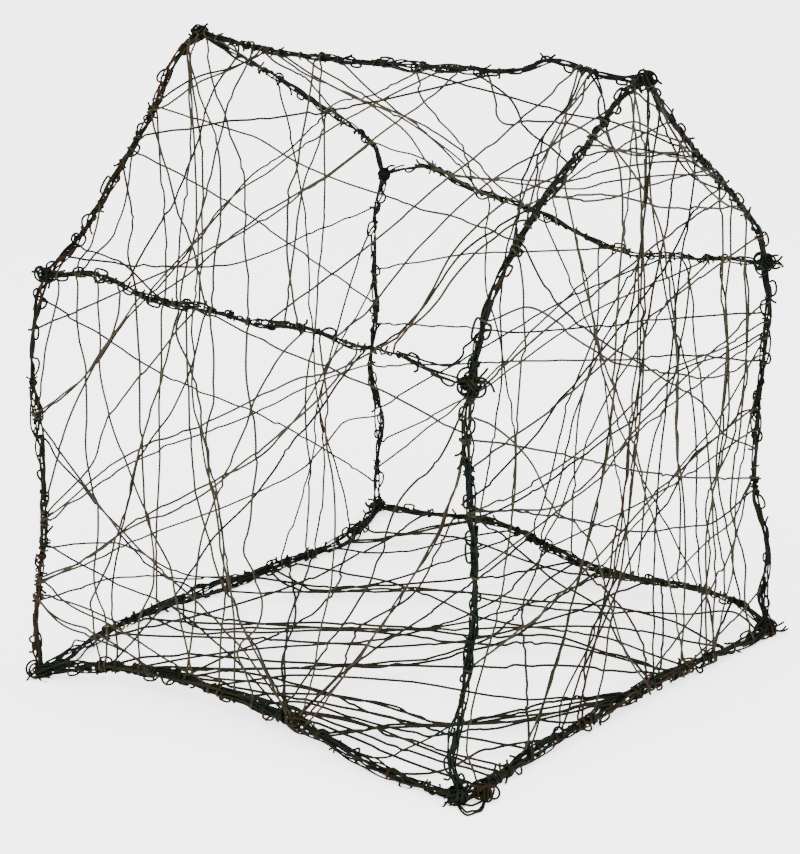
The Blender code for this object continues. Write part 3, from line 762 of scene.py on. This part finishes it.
def add_knot(corner, number):
    """Dress one corner with wound loops, and with wires that pass from bundle to bundle."""
    rng = random.Random(KNOT_SEED + number)
    wires = WireMesh()
    centre = corners[corner] - CAMERA_RIGHT * KNOT_SHIFTS.get(corner, 0)
    low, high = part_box(corner + "_knot")
    radius = (high[0] - low[0]) / 2
    wound, loose, reach, cut, stand_off = KNOTS[corner]
    for _ in range(wound):
        loop = wound_loop(centre, radius * rng.uniform(*WOUND_REACH), rng, rng.uniform(*WOUND_TURNS))
        wires.add(loop, BUNDLE_WIRE, pick_finish(rng, KNOT_RUST))
    for _ in range(loose):
        loop = loose_loop(centre, radius * LOOP_START, reach * rng.uniform(*LOOP_REACH) * MM, rng)
        wires.add(loop, THIN_WIRE, pick_finish(rng, KNOT_RUST))
    for _ in range(cut):
        end = knot_end(centre, radius, rng.uniform(*KNOT_END_REACH) * reach * MM, rng)
        wires.add(end, THIN_WIRE, pick_finish(rng, KNOT_RUST))
    meeting = [name for name, pair in MEMBERS.items() if corner in pair]
    for index, first in enumerate(meeting):
        for second in meeting[index + 1:]:
            passing = passing_wire(corner, first, second, stand_off, rng)
            wires.add(passing, BUNDLE_WIRE, pick_finish(rng, KNOT_RUST))
    if corner == "front_left_foot":
        add_second_knot(wires, centre, corners[corner] + np.array(SECOND_KNOT), rng)
    wires.make(corner + "_loops", [corner + "_knot"])


def add_second_knot(wires, centre, beside, rng):
    """Bind the near end of the front sill beside the foot, with loops from one to the other."""
    beside[2] = SECOND_KNOT_HEIGHT
    for _ in range(5):
        loop = wound_loop(beside, rng.uniform(*SECOND_KNOT_RADII), rng, rng.uniform(1.0, 1.8))
        wires.add(loop, BUNDLE_WIRE, pick_finish(rng, SECOND_KNOT_LOOP_RUST))
    for _ in range(2):
        wires.add(loose_loop(beside, 0.004, rng.uniform(*SECOND_KNOT_LOOPS), rng), THIN_WIRE, "brown")
    across = beside - centre
    for sag in SAGS:
        points = []
        for t in np.linspace(-0.12, 1.12, 9):
            dip = math.sin(math.pi * min(max(t, 0), 1)) ** 0.4
            points.append(centre + across * t + CAMERA_UP * sag * dip * rng.uniform(0.9, 1.1))
        line = smooth_through(points, PASSING_STEP)
        line[:, :2] += CAMERA_BACK[:2] * np.maximum(THIN_WIRE / 2 - line[:, 2:], 0) / CAMERA_BACK[2]
        line[:, 2] = np.maximum(line[:, 2], THIN_WIRE / 2)
        wires.add(line, THIN_WIRE, pick_finish(rng, SECOND_KNOT_RUST))
    sill = members["front_sill"]
    for _ in range(8):
        angle = rng.uniform(*ANY_ANGLE)
        part = [sill.round_spots(share, sill.radius * 0.7, angle + 9 * share)[0]
                for share in np.linspace(0.06, rng.uniform(0.14, 0.24), 6)]
        wires.add(smooth_through([beside, beside * 0.6 + part[0] * 0.4, *part], PASSING_STEP),
                  BUNDLE_WIRE, pick_finish(rng, SECOND_KNOT_RUST))


def wound_loop(centre, radius, rng, turns):
    """A wire wound round a corner in a tilted ring."""
    axis = unit([rng.uniform(-1, 1), rng.uniform(-1, 1), rng.uniform(-1, 1)])
    side = unit(np.cross(axis, (0.3, 0.5, 0.8)))
    other = np.cross(axis, side)
    start = rng.uniform(*ANY_ANGLE)
    points = []
    for t in np.linspace(0, 1, int(turns * 10) + 4):
        angle = start + TURN * turns * t
        here = radius * (1 + 0.18 * math.sin(3 * angle + start))
        lift = axis * radius * (t - 0.5) * 0.8
        points.append(centre + (side * math.cos(angle) + other * math.sin(angle)) * here + lift)
    return smooth_through(points, LOOP_STEP)


def facing_disc(rng, lean):
    """Return two directions of a plane that faces the viewer, apart from a lean."""
    axis = unit(CAMERA_BACK + np.array([rng.uniform(-lean, lean) for _ in range(3)]))
    side = unit(np.cross(axis, CAMERA_UP))
    return side, np.cross(axis, side)


def loose_loop(centre, inner, outer, rng):
    """A petal of wire that leaves a knot, swings wide and comes back."""
    side, other = facing_disc(rng, 0.6)
    middle = rng.uniform(*ANY_ANGLE)
    spread = rng.uniform(0.7, 1.5)
    depth = np.cross(side, other) * rng.uniform(-0.003, 0.003)
    points = []
    for t in np.linspace(0, 1, 14):
        angle = middle + spread * (2 * t - 1)
        out = inner + (outer - inner) * math.sin(math.pi * t) ** 0.7
        points.append(centre + (side * math.cos(angle) + other * math.sin(angle)) * out + depth * (2 * t - 1))
    return smooth_through(points, LOOP_STEP)


def knot_end(centre, inner, reach, rng):
    """A wire's end that sticks out of a knot."""
    side, other = facing_disc(rng, 0.7)
    angle = rng.uniform(*ANY_ANGLE)
    hook = rng.uniform(-0.7, 0.7)
    points = []
    for t in (0, 0.35, 0.7, 1):
        turn = angle + hook * t * t
        out = inner * 0.5 + (reach + inner * 0.5) * t
        points.append(centre + (side * math.cos(turn) + other * math.sin(turn)) * out)
    return smooth_through(points, LOOP_STEP)


def passing_wire(corner, first, second, stand_off, rng):
    """A wire that comes along one bundle, turns at the corner and leaves along the next."""
    points = []
    for name, order in ((first, -1), (second, 1)):
        member = members[name]
        at_start = MEMBERS[name][0] == corner
        reach = rng.uniform(0.05, 0.17)
        angle = rng.uniform(*ANY_ANGLE)
        off = rng.uniform(0.7, 1.0) * stand_off
        part = []
        for t in np.linspace(0.10, 1, 7):
            share = reach * t if at_start else 1 - reach * t
            out = member.radius * (0.8 + (off - 0.8) * math.sin(math.pi * t) ** 2)
            part.append(member.round_spots(share, out, angle + 2.5 * t)[0])
        points += part[::order]
    return smooth_through(points, PASSING_STEP)


for number, name in enumerate(MEMBERS):
    add_bundle(name, number)
for number, corner in enumerate(CORNERS):
    add_knot(corner, number)


def smooth_bend(bends, share):
    """Read a smooth curve through a row's bends, with no bend at either end, as one column."""
    places = np.array([0, *bends[::2], 100]) / 100
    amounts = np.array([0, *bends[1::2], 0], float) * MM
    return smooth_curve(places, amounts[:, None], share)


class Surface:
    """A face of the house, as flat axes and a skin stretched over its bundles."""

    def __init__(self, name):
        self.name = name
        self.sides, facing = SURFACES[name]
        self.normal = unit(facing)
        across = np.cross((0, 0, 1), self.normal)
        self.across = unit(across) if np.linalg.norm(across) > 0.1 else np.array([1.0, 0, 0])
        self.along = np.cross(self.normal, self.across)

    def flat(self, points):
        """Return the places of points on the flat axes."""
        points = np.atleast_2d(points)
        return np.column_stack([points @ self.across, points @ self.along])

    def skin(self, places):
        """Return the skin's height over flat places, from the nearest bundles most."""
        total = 0.0
        weights = 0.0
        for name in self.sides.values():
            path = members[name].path
            away = np.linalg.norm(places[:, None] - self.flat(path)[None], axis=2)
            nearest = away.argmin(axis=1)
            weight = 1 / (away.min(axis=1) + 0.0005) ** 3
            total = total + weight * (path[nearest] @ self.normal)
            weights = weights + weight
        return total / weights

    def lift(self, places, height):
        """Return the points at a height above the skin over flat places."""
        height = self.skin(places) + height
        return (self.across * places[:, :1] + self.along * places[:, 1:]
                + self.normal * height[:, None])

    def nearest(self, point):
        """Return the member nearest to a point, and the share of its length there."""
        best = None
        for name in self.sides.values():
            away = np.linalg.norm(members[name].path - point, axis=1)
            index = int(away.argmin())
            if best is None or away[index] < best[0]:
                best = (away[index], name, index / (len(away) - 1))
        return best[1], best[2]

    def side_spot(self, side, place):
        """Return the flat place of a spot on a side's bundle, in hundredths of its length."""
        return self.flat(spot_on(self.sides[side], place / 100))[0]


def spot_on(name, share):
    """Return a point of a bundle's middle line."""
    return members[name].read(members[name].path, [share])[0]


def kinked(path, rng):
    """Give a wire the small kinks of hand work, none at its ends."""
    reach = reach_along(path)
    ends = np.clip(np.minimum(reach, reach[-1] - reach) / KINK_FREE_END, 0, 1)[:, None]
    count = max(3, int(reach[-1] / KINK_SPACING))
    places = np.sort([rng.uniform(0, reach[-1]) for _ in range(count)])
    shift = np.array([[rng.gauss(0, KINK_SIZE) for _ in range(3)] for _ in range(count)])
    bend = np.column_stack([np.interp(reach, places, column) for column in shift.T])
    return path + bend * ends


def wound_end(member, share, towards, rng, turns):
    """Return a winding round a bundle that leaves it in the direction of the wire."""
    tangent, left, front = (member.read(table, [share])[0]
                            for table in (member.tangents, member.left, member.front))
    out = towards - tangent * (towards @ tangent)
    angle = math.atan2(out @ front, out @ left)
    sense = rng.choice((-1, 1))
    winding = helix(member, share, turns, member.radius * WOUND_END_REACH + THIN_WIRE * 0.5,
                    rng.uniform(*WOUND_END_PITCH) * rng.choice((-1, 1)), angle - sense * math.pi / 2, sense)
    onward = unit(winding[0] - winding[2] + rng.uniform(-0.5, 0.5) * tangent * 0.003)
    return [winding[0] + onward * rng.uniform(*WOUND_END_TAIL), *winding]


def add_web_wire(wires, surface, path, rng, finish, paired):
    """Add a strung wire whose two ends are wound round the bundles that it meets."""
    diameter = FLOOR_WEB_WIRE if surface.name == "floor" else WEB_WIRE
    start_name, start_share = surface.nearest(path[0])
    end_name, end_share = surface.nearest(path[-1])
    path = kinked(path, rng)
    meetings = [(members[name].radius * WOUND_END_REACH + END_CLEARANCE, spot_on(name, share))
                for name, share in ((start_name, start_share), (end_name, end_share))]
    inside = [point for point in path
              if all(np.linalg.norm(point - spot) > clearance for clearance, spot in meetings)]
    if len(inside) < 3:
        inside = list(path[1:-1])
    first = wound_end(members[start_name], start_share, inside[1] - inside[0], rng,
                      rng.uniform(*WOUND_END_TURNS))
    last = wound_end(members[end_name], end_share, inside[-2] - inside[-1], rng,
                     rng.uniform(*WOUND_END_TURNS))
    line = smooth_through([*first, *inside, *last[::-1]], WEB_STEP)
    if not paired:
        wires.add(line, diameter, finish)
        return
    tangents = directions(line)
    side = np.cross(tangents, surface.normal)
    side /= np.linalg.norm(side, axis=1)[:, None] + 1e-9
    rise = np.cross(tangents, side)
    distance = np.linspace(0, 1, len(line)) * len(line) * WEB_STEP
    turn = (TURN * distance / PAIR_PITCH)[:, None]
    gap = (THIN_WIRE * (0.6 + 0.8 * np.sin(distance * 27) ** 2))[:, None]
    for sign in (-1, 1):
        wires.add(line + sign * gap * (side * np.cos(turn) + rise * np.sin(turn) * 0.5), diameter, finish)


# Wires strung across each surface besides those of the frame's own nodes: the side
# where the wire starts and the place on it, the side where it ends and the place on
# it, and its bends, each as a place along the wire and the millimetres to the left of
# its run, seen by the viewer. Places are in hundredths. A last word gives the finish
# or makes the wire a twisted pair.
WEB_WIRES = {
    "left_roof": [
        ("back", 68, "top", 16.5, (50, -3), "brown"),
        ("back", 66, "top", 15.5, (25, -6, 45, -7, 75, -4)),
        ("back", 94, "low", 67.5, (40, 3)),
        ("back", 98.5, "low", 61.7, (7, -3, 50, 0)),
        ("top", 1, "low", 50, (15, 0, 33, 5, 55, 12, 72, 8, 85, 4)),
        ("back", 93, "low", 59, (20, 4, 42, 13, 60, 12, 80, 6)),
        ("back", 66.5, "low", 60, (25, -3, 50, -2, 70, 1)),
        ("back", 47, "low", 77, (20, 1, 50, 3, 80, -1)),
        ("back", 55, "low", 91, (25, 3, 45, 6, 70, 5)),
        ("back", 31, "low", 92, (40, 2)),
        ("back", 16, "low", 70, (20, -2, 60, 3)),
        ("top", 10, "low", 80, (30, -4, 50, 1, 80, 2)),
        ("top", 13, "low", 67, (25, -6, 42, -5, 65, -2)),
        ("top", 28.5, "low", 42, (15, 3, 30, 8, 42, 1, 60, 0)),
        ("top", 57, "low", 75, (24, -20, 38, -27, 52, -26, 68, -24, 82, -12, 92, -5)),
        ("top", 66, "front", 75, (15, -10, 30, -24, 42, -27, 60, -18, 80, -5)),
        ("top", 63, "front", 64, (30, 5, 60, -4)),
        ("top", 87, "front", 35, (20, -4, 45, -12, 70, -8), "black"),
        ("top", 89, "front", 80, (50, 2), "pair"),
        ("top", 89.5, "front", 42, (15, -8, 35, -20, 60, -12)),
        ("top", 88, "front", 34, (30, 2, 60, -6)),
        ("low", 16, "front", 12.5, (30, -8, 60, -10), "black"),
        ("low", 21, "front", 50, (30, 3, 60, 4)),
        ("low", 18, "front", 62, (30, 8, 60, 10)),
        ("low", 30, "front", 86, (30, 8, 60, 3)),
        ("low", 46, "top", 86, (30, -10, 55, -16, 80, -8)),
    ],
    "right_roof": [
        ("top", 4, "back", 72, (30, -6, 70, -4)),
        ("top", 14, "back", 30, (40, 6)),
        ("top", 17, "low", 86, (30, 6, 60, 10)),
        ("top", 33, "low", 72, (30, 8, 70, 6)),
        ("top", 50, "low", 74, (25, -6, 60, 4)),
        ("top", 24, "low", 60, (30, 10, 60, 14)),
        ("back", 38, "top", 52, (40, 6)),
        ("back", 14, "low", 66, (40, 9)),
        ("low", 82, "front", 55, (30, 4, 60, 6)),
        ("low", 62, "front", 80, (40, 6)),
        ("top", 97, "low", 30, (30, 5, 60, 3)),
        ("top", 98, "low", 34, (50, -3)),
        ("top", 86, "low", 52, (40, -5)),
    ],
    "front_gable": [
        ("slope", 36, "low", 4, (9, 11, 21, 11, 34, 13, 50, 8, 66, 0, 75, -8, 90, -10)),
        ("far_slope", 98.5, "low", 29, (11, 10, 24, 21, 35, 34, 48, 43, 60, 49, 72, 48, 80, 38, 87, 20, 94,
                                        2)),
        ("far_slope", 98, "low", 76, (13, -3, 31, 5, 40, 15, 52, 34, 62, 38, 70, 33, 80, 20, 90, 9)),
        ("far_slope", 97, "far_slope", 42, (25, -8, 50, -11, 80, -8)),
        ("slope", 80, "low", 18, (8, 27, 20, 41, 31, 46, 40, 52, 51, 54, 59, 49, 71, 40, 78, 35, 88, 26,
                                  95, 10)),
        ("slope", 78, "low", 70, (6, 16, 15, 40, 25, 57, 33, 58, 46, 57, 60, 44, 74, 38, 83, 23, 90, 13)),
        ("far_slope", 43, "low", 78, (15, 14, 30, 23, 43, 36, 55, 37, 67, 17, 78, 2)),
        ("far_slope", 22, "low", 93, (12, 4, 27, 6, 43, 9, 58, -2, 67, -10, 79, -5)),
        ("near", 73, "far_slope", 41, (20, -8, 35, -5, 56, -8, 69, -7, 80, 0, 88, 8), "black"),
        ("near", 68, "far", 82, (18, -8, 38, -6, 60, 0, 68, 8, 85, 1), "black"),
        ("near", 70, "far", 81, (10, -14, 30, -36, 42, -33, 50, -22, 60, -16, 70, -12, 90, -4)),
        ("near", 71, "far", 40, (31, -11, 54, -26, 75, -26, 87, -23, 94, -12)),
        ("far", 61, "low", 30, (6, -17, 13, -22, 26, -40, 40, -41, 51, -46, 60, -42, 72, -31, 85, -20)),
        ("slope", 52, "far_slope", 27, (25, 3, 60, -3)),
        ("slope", 75, "far_slope", 67, (30, 12, 60, 5)),
        ("slope", 68, "far_slope", 58, (40, 4)),
        ("slope", 74, "far_slope", 45, (30, -3, 60, 5)),
        ("slope", 72, "far_slope", 62, (40, -3)),
        ("far_slope", 95, "far_slope", 36, (30, -14, 60, -18, 85, -9)),
        ("far_slope", 96, "far_slope", 22, (20, -9, 50, -18, 80, -12)),
        ("slope", 92, "far_slope", 30, (30, 8, 60, 3)),
        ("slope", 93, "low", 41, (15, 22, 30, 38, 50, 45, 70, 36, 85, 18)),
        ("near", 97, "far_slope", 36, (30, 5, 60, 3)),
        ("near", 80, "far_slope", 10, (30, -3, 60, 5)),
        ("near", 55, "far", 90, (30, -10, 60, -5)),
        ("near", 32, "far", 62, (30, -6, 60, 4)),
        ("low", 57, "far", 42, (40, -6, 70, -9)),
        ("low", 35, "far_slope", 72, (30, -12, 60, -6), "rusty"),
        ("low", 60, "far_slope", 62, (30, 12, 60, 9)),
        ("low", 80, "far_slope", 34, (20, 4, 50, -7, 80, -4)),
        ("low", 80, "far", 68, (40, -6)),
        ("low", 69, "far", 12, (50, 4)),
        ("low", 71, "slope", 60, (25, -9, 50, -6, 75, 8)),
    ],
    "back_gable": [
        ("near", 32, "low", 57, (40, 8, 75, -9)),
        ("near", 23, "far", 28, (29, -9, 51, -10, 70, -4, 78, 3, 89, 9)),
        ("slope", 10, "far", 91, (30, -22, 55, -28, 80, -12)),
        ("far_slope", 38, "low", 70, (15, 6, 40, 14, 60, 8, 80, 3)),
        ("far_slope", 12, "near", 86, (20, 10, 45, 16, 70, 9)),
        ("far", 86, "low", 72, (20, -10, 50, -12, 80, -4)),
        ("far", 68, "low", 63, (20, -14, 50, -16, 80, -8)),
        ("slope", 70, "low", 33, (30, 4, 60, -4)),
        ("far_slope", 62, "low", 84, (30, 5, 70, -4)),
        ("near", 18, "low", 52, (40, 8)),
        ("near", 20, "low", 24, (50, 2)),
        ("slope", 52, "far", 62, (30, 6, 60, 3)),
    ],
    "left_wall": [
        ("top", 92, "low", 86, (11, -3, 21, 6, 45, 3, 63, 10, 76, 3, 86, 5)),
        ("top", 81, "back", 41, (15, 4, 38, 0, 60, -5, 78, -4)),
        ("back", 40, "top", 62, (18, -5, 32, -7, 42, 2, 62, 5, 82, 2)),
        ("back", 65.5, "top", 76, (20, -6, 42, -11, 60, -6, 75, -3)),
        ("back", 64, "low", 41, (20, -3, 40, -6, 56, -4, 80, 0)),
        ("back", 33, "low", 42, (15, 6, 40, 11, 60, 12, 80, 6)),
        ("back", 39, "top", 21, (8, 4, 18, 11, 35, 14, 50, 9, 67, 8, 78, 7, 88, 0)),
        ("top", 23.5, "low", 86, (15, 2, 30, 2, 42, 5, 59, 0, 75, 3), "black"),
        ("top", 65.5, "low", 42, (5, -12, 15, -5, 30, -6, 45, -13, 62, -22, 74, -25, 87, -14)),
        ("top", 65, "low", 60, (25, -4, 50, 0, 64, 8, 74, 13, 84, 6)),
        ("top", 60, "low", 84, (15, 2, 28, -4, 40, -18, 53, -19, 67, -17, 82, -13)),
        ("top", 59, "low", 56, (10, 3, 20, 0, 31, -10, 44, -5, 62, 0)),
        ("top", 77.5, "low", 66, (33, -5, 46, -8, 56, -10, 68, -1, 82, -2)),
        ("top", 66, "low", 87, (33, -4, 55, -4, 68, -7, 84, -14, 93, -8)),
        ("top", 50.5, "low", 51, (13, 0, 31, 11, 48, 5, 59, -4, 70, 12, 78, 6, 86, -15, 93, -8)),
        ("top", 65, "front", 88, (30, -2, 60, 2)),
        ("front", 96, "low", 45, (15, 4, 30, -4, 50, 8, 80, 5)),
        ("front", 86, "low", 40, (20, 14, 45, 17, 75, 12), "rusty"),
        ("low", 30, "front", 19, (30, -14, 60, -10), "black"),
        ("top", 97, "back", 66, (50, 3)),
        ("back", 22, "top", 28, (15, -6, 32, -6, 43, -12, 57, -20, 68, -24, 80, -19, 93, -4)),
        ("low", 62, "back", 24, (40, 8, 80, 3)),
        ("back", 19, "low", 76, (40, -3), "pair"),
    ],
    "right_wall": [
        ("top", 5, "low", 17, (12, 7, 36, 15, 55, 12, 70, -3, 88, 0)),
        ("top", 36, "back", 12, (30, 2, 60, 6, 80, 4)),
        ("top", 18, "low", 33, (30, 6, 70, -5)),
        ("top", 28, "low", 58, (25, -8, 50, -10, 80, -3), "rusty"),
        ("top", 30, "low", 60, (25, -9, 50, -13, 80, -5), "black"),
        ("top", 41, "low", 49, (30, 8, 60, -4)),
        ("top", 47, "low", 34, (30, 7, 70, 5)),
        ("top", 56, "low", 18, (30, 5, 60, -5)),
        ("top", 62, "low", 74, (20, -5, 50, 6, 80, 3)),
        ("top", 70, "low", 66, (20, -9, 50, 4, 80, 6)),
        ("back", 72, "top", 38, (40, 5)),
        ("back", 20, "top", 14, (30, -4, 70, 6)),
        ("top", 11, "low", 8, (30, 6, 60, -4)),
        ("top", 20, "low", 12, (30, 5, 60, 7)),
        ("top", 24, "back", 30, (30, -6, 60, -4)),
        ("front", 80, "low", 42, (30, 9, 60, 5)),
        ("front", 56, "low", 55, (40, 6)),
        ("front", 45, "low", 26, (30, 12, 60, 6)),
    ],
    "floor": [
        ("left", 87, "front", 10, (30, 5, 60, 2)),
        ("left", 84, "front", 22, (35, -4, 70, 2)),
        ("left", 91, "front", 5, (20, 4, 55, 7, 80, 3)),
        ("back", 80, "right", 72, (40, -4), "pair"),
        ("back", 76, "right", 64, (40, -14, 70, -10)),
        ("back", 60, "front", 97, (9, -30, 20, -22, 30, -10, 50, -6, 70, -8, 85, 0, 95, 14)),
        ("back", 40, "front", 68, (3, -30, 9, -50, 20, -34, 33, -19, 43, -11, 58, -6, 77, 19, 92, 9)),
        ("back", 30, "right", 40, (6, -45, 18, -66, 34, -80, 46, -88, 56, -86, 70, -72, 86, -38)),
        ("left", 88, "right", 42, (15, -12, 28, -55, 44, -92, 59, -95, 73, -80, 87, -33), "black"),
        ("left", 76, "front", 57, (27, -15, 38, -28, 49, -37, 62, -60, 73, -43, 84, -26, 95, -8)),
        ("left", 50, "front", 56, (12, 4, 24, -26, 38, -50, 53, -52, 68, -45, 85, -26), "black"),
        ("left", 34, "front", 55, (25, 6, 55, -8, 80, -6), "pair"),
        ("left", 41, "right", 80, (20, -6, 45, 8, 60, -12, 80, -8), "rusty"),
        ("left", 41, "right", 60, (30, 10, 60, 6)),
        ("left", 42, "back", 66, (30, 6, 60, -4)),
        ("left", 41, "back", 50, (40, 5)),
        ("left", 62, "front", 13, (30, 10, 60, 14, 80, 6)),
        ("left", 48, "front", 14, (30, 12, 60, 8)),
        ("left", 63, "front", 54, (30, 22, 50, 14, 75, -10)),
        ("left", 84, "front", 66, (20, -10, 50, 8, 80, 12)),
        ("right", 76, "front", 60, (30, 12, 60, 22, 85, 6)),
        ("right", 56, "front", 20, (30, -14, 60, -8)),
        ("right", 47, "front", 58, (30, 8, 65, 16), "rusty"),
        ("right", 17, "front", 80, (40, 4), "rusty"),
        ("right", 10, "front", 80, (40, -4), "black"),
        ("right", 27, "front", 62, (50, 3)),
        ("right", 37, "front", 37, (40, -10)),
        ("back", 20, "right", 30, (30, -70, 60, -90, 80, -55)),
        ("back", 16, "right", 86, (20, -20, 50, -30, 80, -10)),
        ("back", 45, "right", 62, (20, -28, 50, -40, 80, -22)),
        ("back", 55, "right", 48, (20, -22, 50, -34, 80, -24)),
        ("back", 66, "front", 72, (20, 10, 50, -8, 80, 10)),
        ("back", 72, "left", 44, (40, -10)),
        ("left", 80, "right", 55, (25, -22, 50, -60, 75, -50)),
        ("left", 69, "back", 86, (30, -30, 60, -36, 85, -12)),
        ("left", 16, "front", 28, (30, -6, 60, 8), "rusty"),
        ("left", 58, "front", 40, (30, 14, 60, -10)),
        ("back", 35, "front", 86, (20, -30, 45, -24, 75, 10)),
        ("back", 88, "right", 28, (30, -8, 60, -14)),
    ],
}


def add_web(name, number):
    """Dress one surface with its strung wires."""
    rng = random.Random(WEB_SEED + number)
    surface = Surface(name)
    wires = WireMesh()
    nodes = sorted(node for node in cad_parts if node.startswith(name + "_wire_"))
    for node in nodes:
        points = node_points(node)
        away = np.linalg.norm(points[:, None] - points[None], axis=2)
        start, end = np.unravel_index(away.argmax(), away.shape)
        middles = ring_middles(points, points[start], points[end], WIRE_RING_GAP)
        path = smooth_through(middles, ROW_STEP)
        add_web_wire(wires, surface, path, rng, pick_web_finish(rng, name), False)
    for start_side, start_place, end_side, end_place, bends, *kind in WEB_WIRES[name]:
        start = surface.side_spot(start_side, start_place)
        run = surface.side_spot(end_side, end_place) - start
        left = unit([-run[1], run[0]])
        share = np.linspace(0, 1, int(np.linalg.norm(run) / ROW_STEP) + 4)
        places = start + run * share[:, None] + left * smooth_bend(bends, share)
        height = rng.choice((-1, 1)) * rng.uniform(*LAYER_MM) * MM * np.sin(np.pi * share) ** 0.6
        path = surface.lift(places, height)
        paired = kind == ["pair"]
        finish = kind[0] if kind and not paired else pick_web_finish(rng, name)
        add_web_wire(wires, surface, path, rng, finish, paired)
    wires.make(name + "_web", nodes)


for number, name in enumerate(SURFACES):
    add_web(name, number)

# The floor and the soft studio light
bpy.ops.mesh.primitive_plane_add(size=FLOOR_SIZE, location=(0, 0, 0))
ground = bpy.context.object
ground.name = "studio_floor"
paper = bpy.data.materials.new("studio_paper")
paper.use_nodes = True
paper_shader = paper.node_tree.nodes["Principled BSDF"]
paper_shader.inputs["Base Color"].default_value = PAPER_COLOUR
paper_shader.inputs["Roughness"].default_value = PAPER_ROUGHNESS
paper_shader.inputs["Emission Color"].default_value = WHITE
paper_shader.inputs["Emission Strength"].default_value = PAPER_GLOW
ground.data.materials.append(paper)

world = bpy.data.worlds.new("studio")
bpy.context.scene.world = world
world.use_nodes = True
world.node_tree.nodes["Background"].inputs["Color"].default_value = WHITE
world.node_tree.nodes["Background"].inputs["Strength"].default_value = SKY_STRENGTH


def area_light(name, place, power):
    """Add a round light that is aimed at the house."""
    light = bpy.data.lights.new(name, "AREA")
    light.shape = "DISK"
    light.size = LIGHT_SIZE
    light.energy = power
    lamp = bpy.data.objects.new(name, light)
    lamp.location = place
    back = unit(np.array(place) - np.array(LIGHT_AIM))
    right = unit(np.cross((0, 0, 1), back))
    lamp.rotation_mode = "QUATERNION"
    lamp.rotation_quaternion = Matrix(np.column_stack([right, np.cross(back, right), back])).to_quaternion()
    bpy.context.scene.collection.objects.link(lamp)


area_light("key_light", (-2.2, -0.6, 3.0), 160)
area_light("fill_light", (1.0, -3.0, 2.4), 90)

camera_data = bpy.data.cameras.new("camera")
camera_data.lens = LENS_MM
camera_data.sensor_width = SENSOR_MM
camera_data.clip_start, camera_data.clip_end = CLIP_RANGE
camera = bpy.data.objects.new("camera", camera_data)
camera.location = EYE
camera.rotation_mode = "QUATERNION"
camera.rotation_quaternion = Matrix(
    np.column_stack([CAMERA_RIGHT, CAMERA_UP, CAMERA_BACK]).tolist()).to_quaternion()
bpy.context.scene.collection.objects.link(camera)
bpy.context.scene.camera = camera
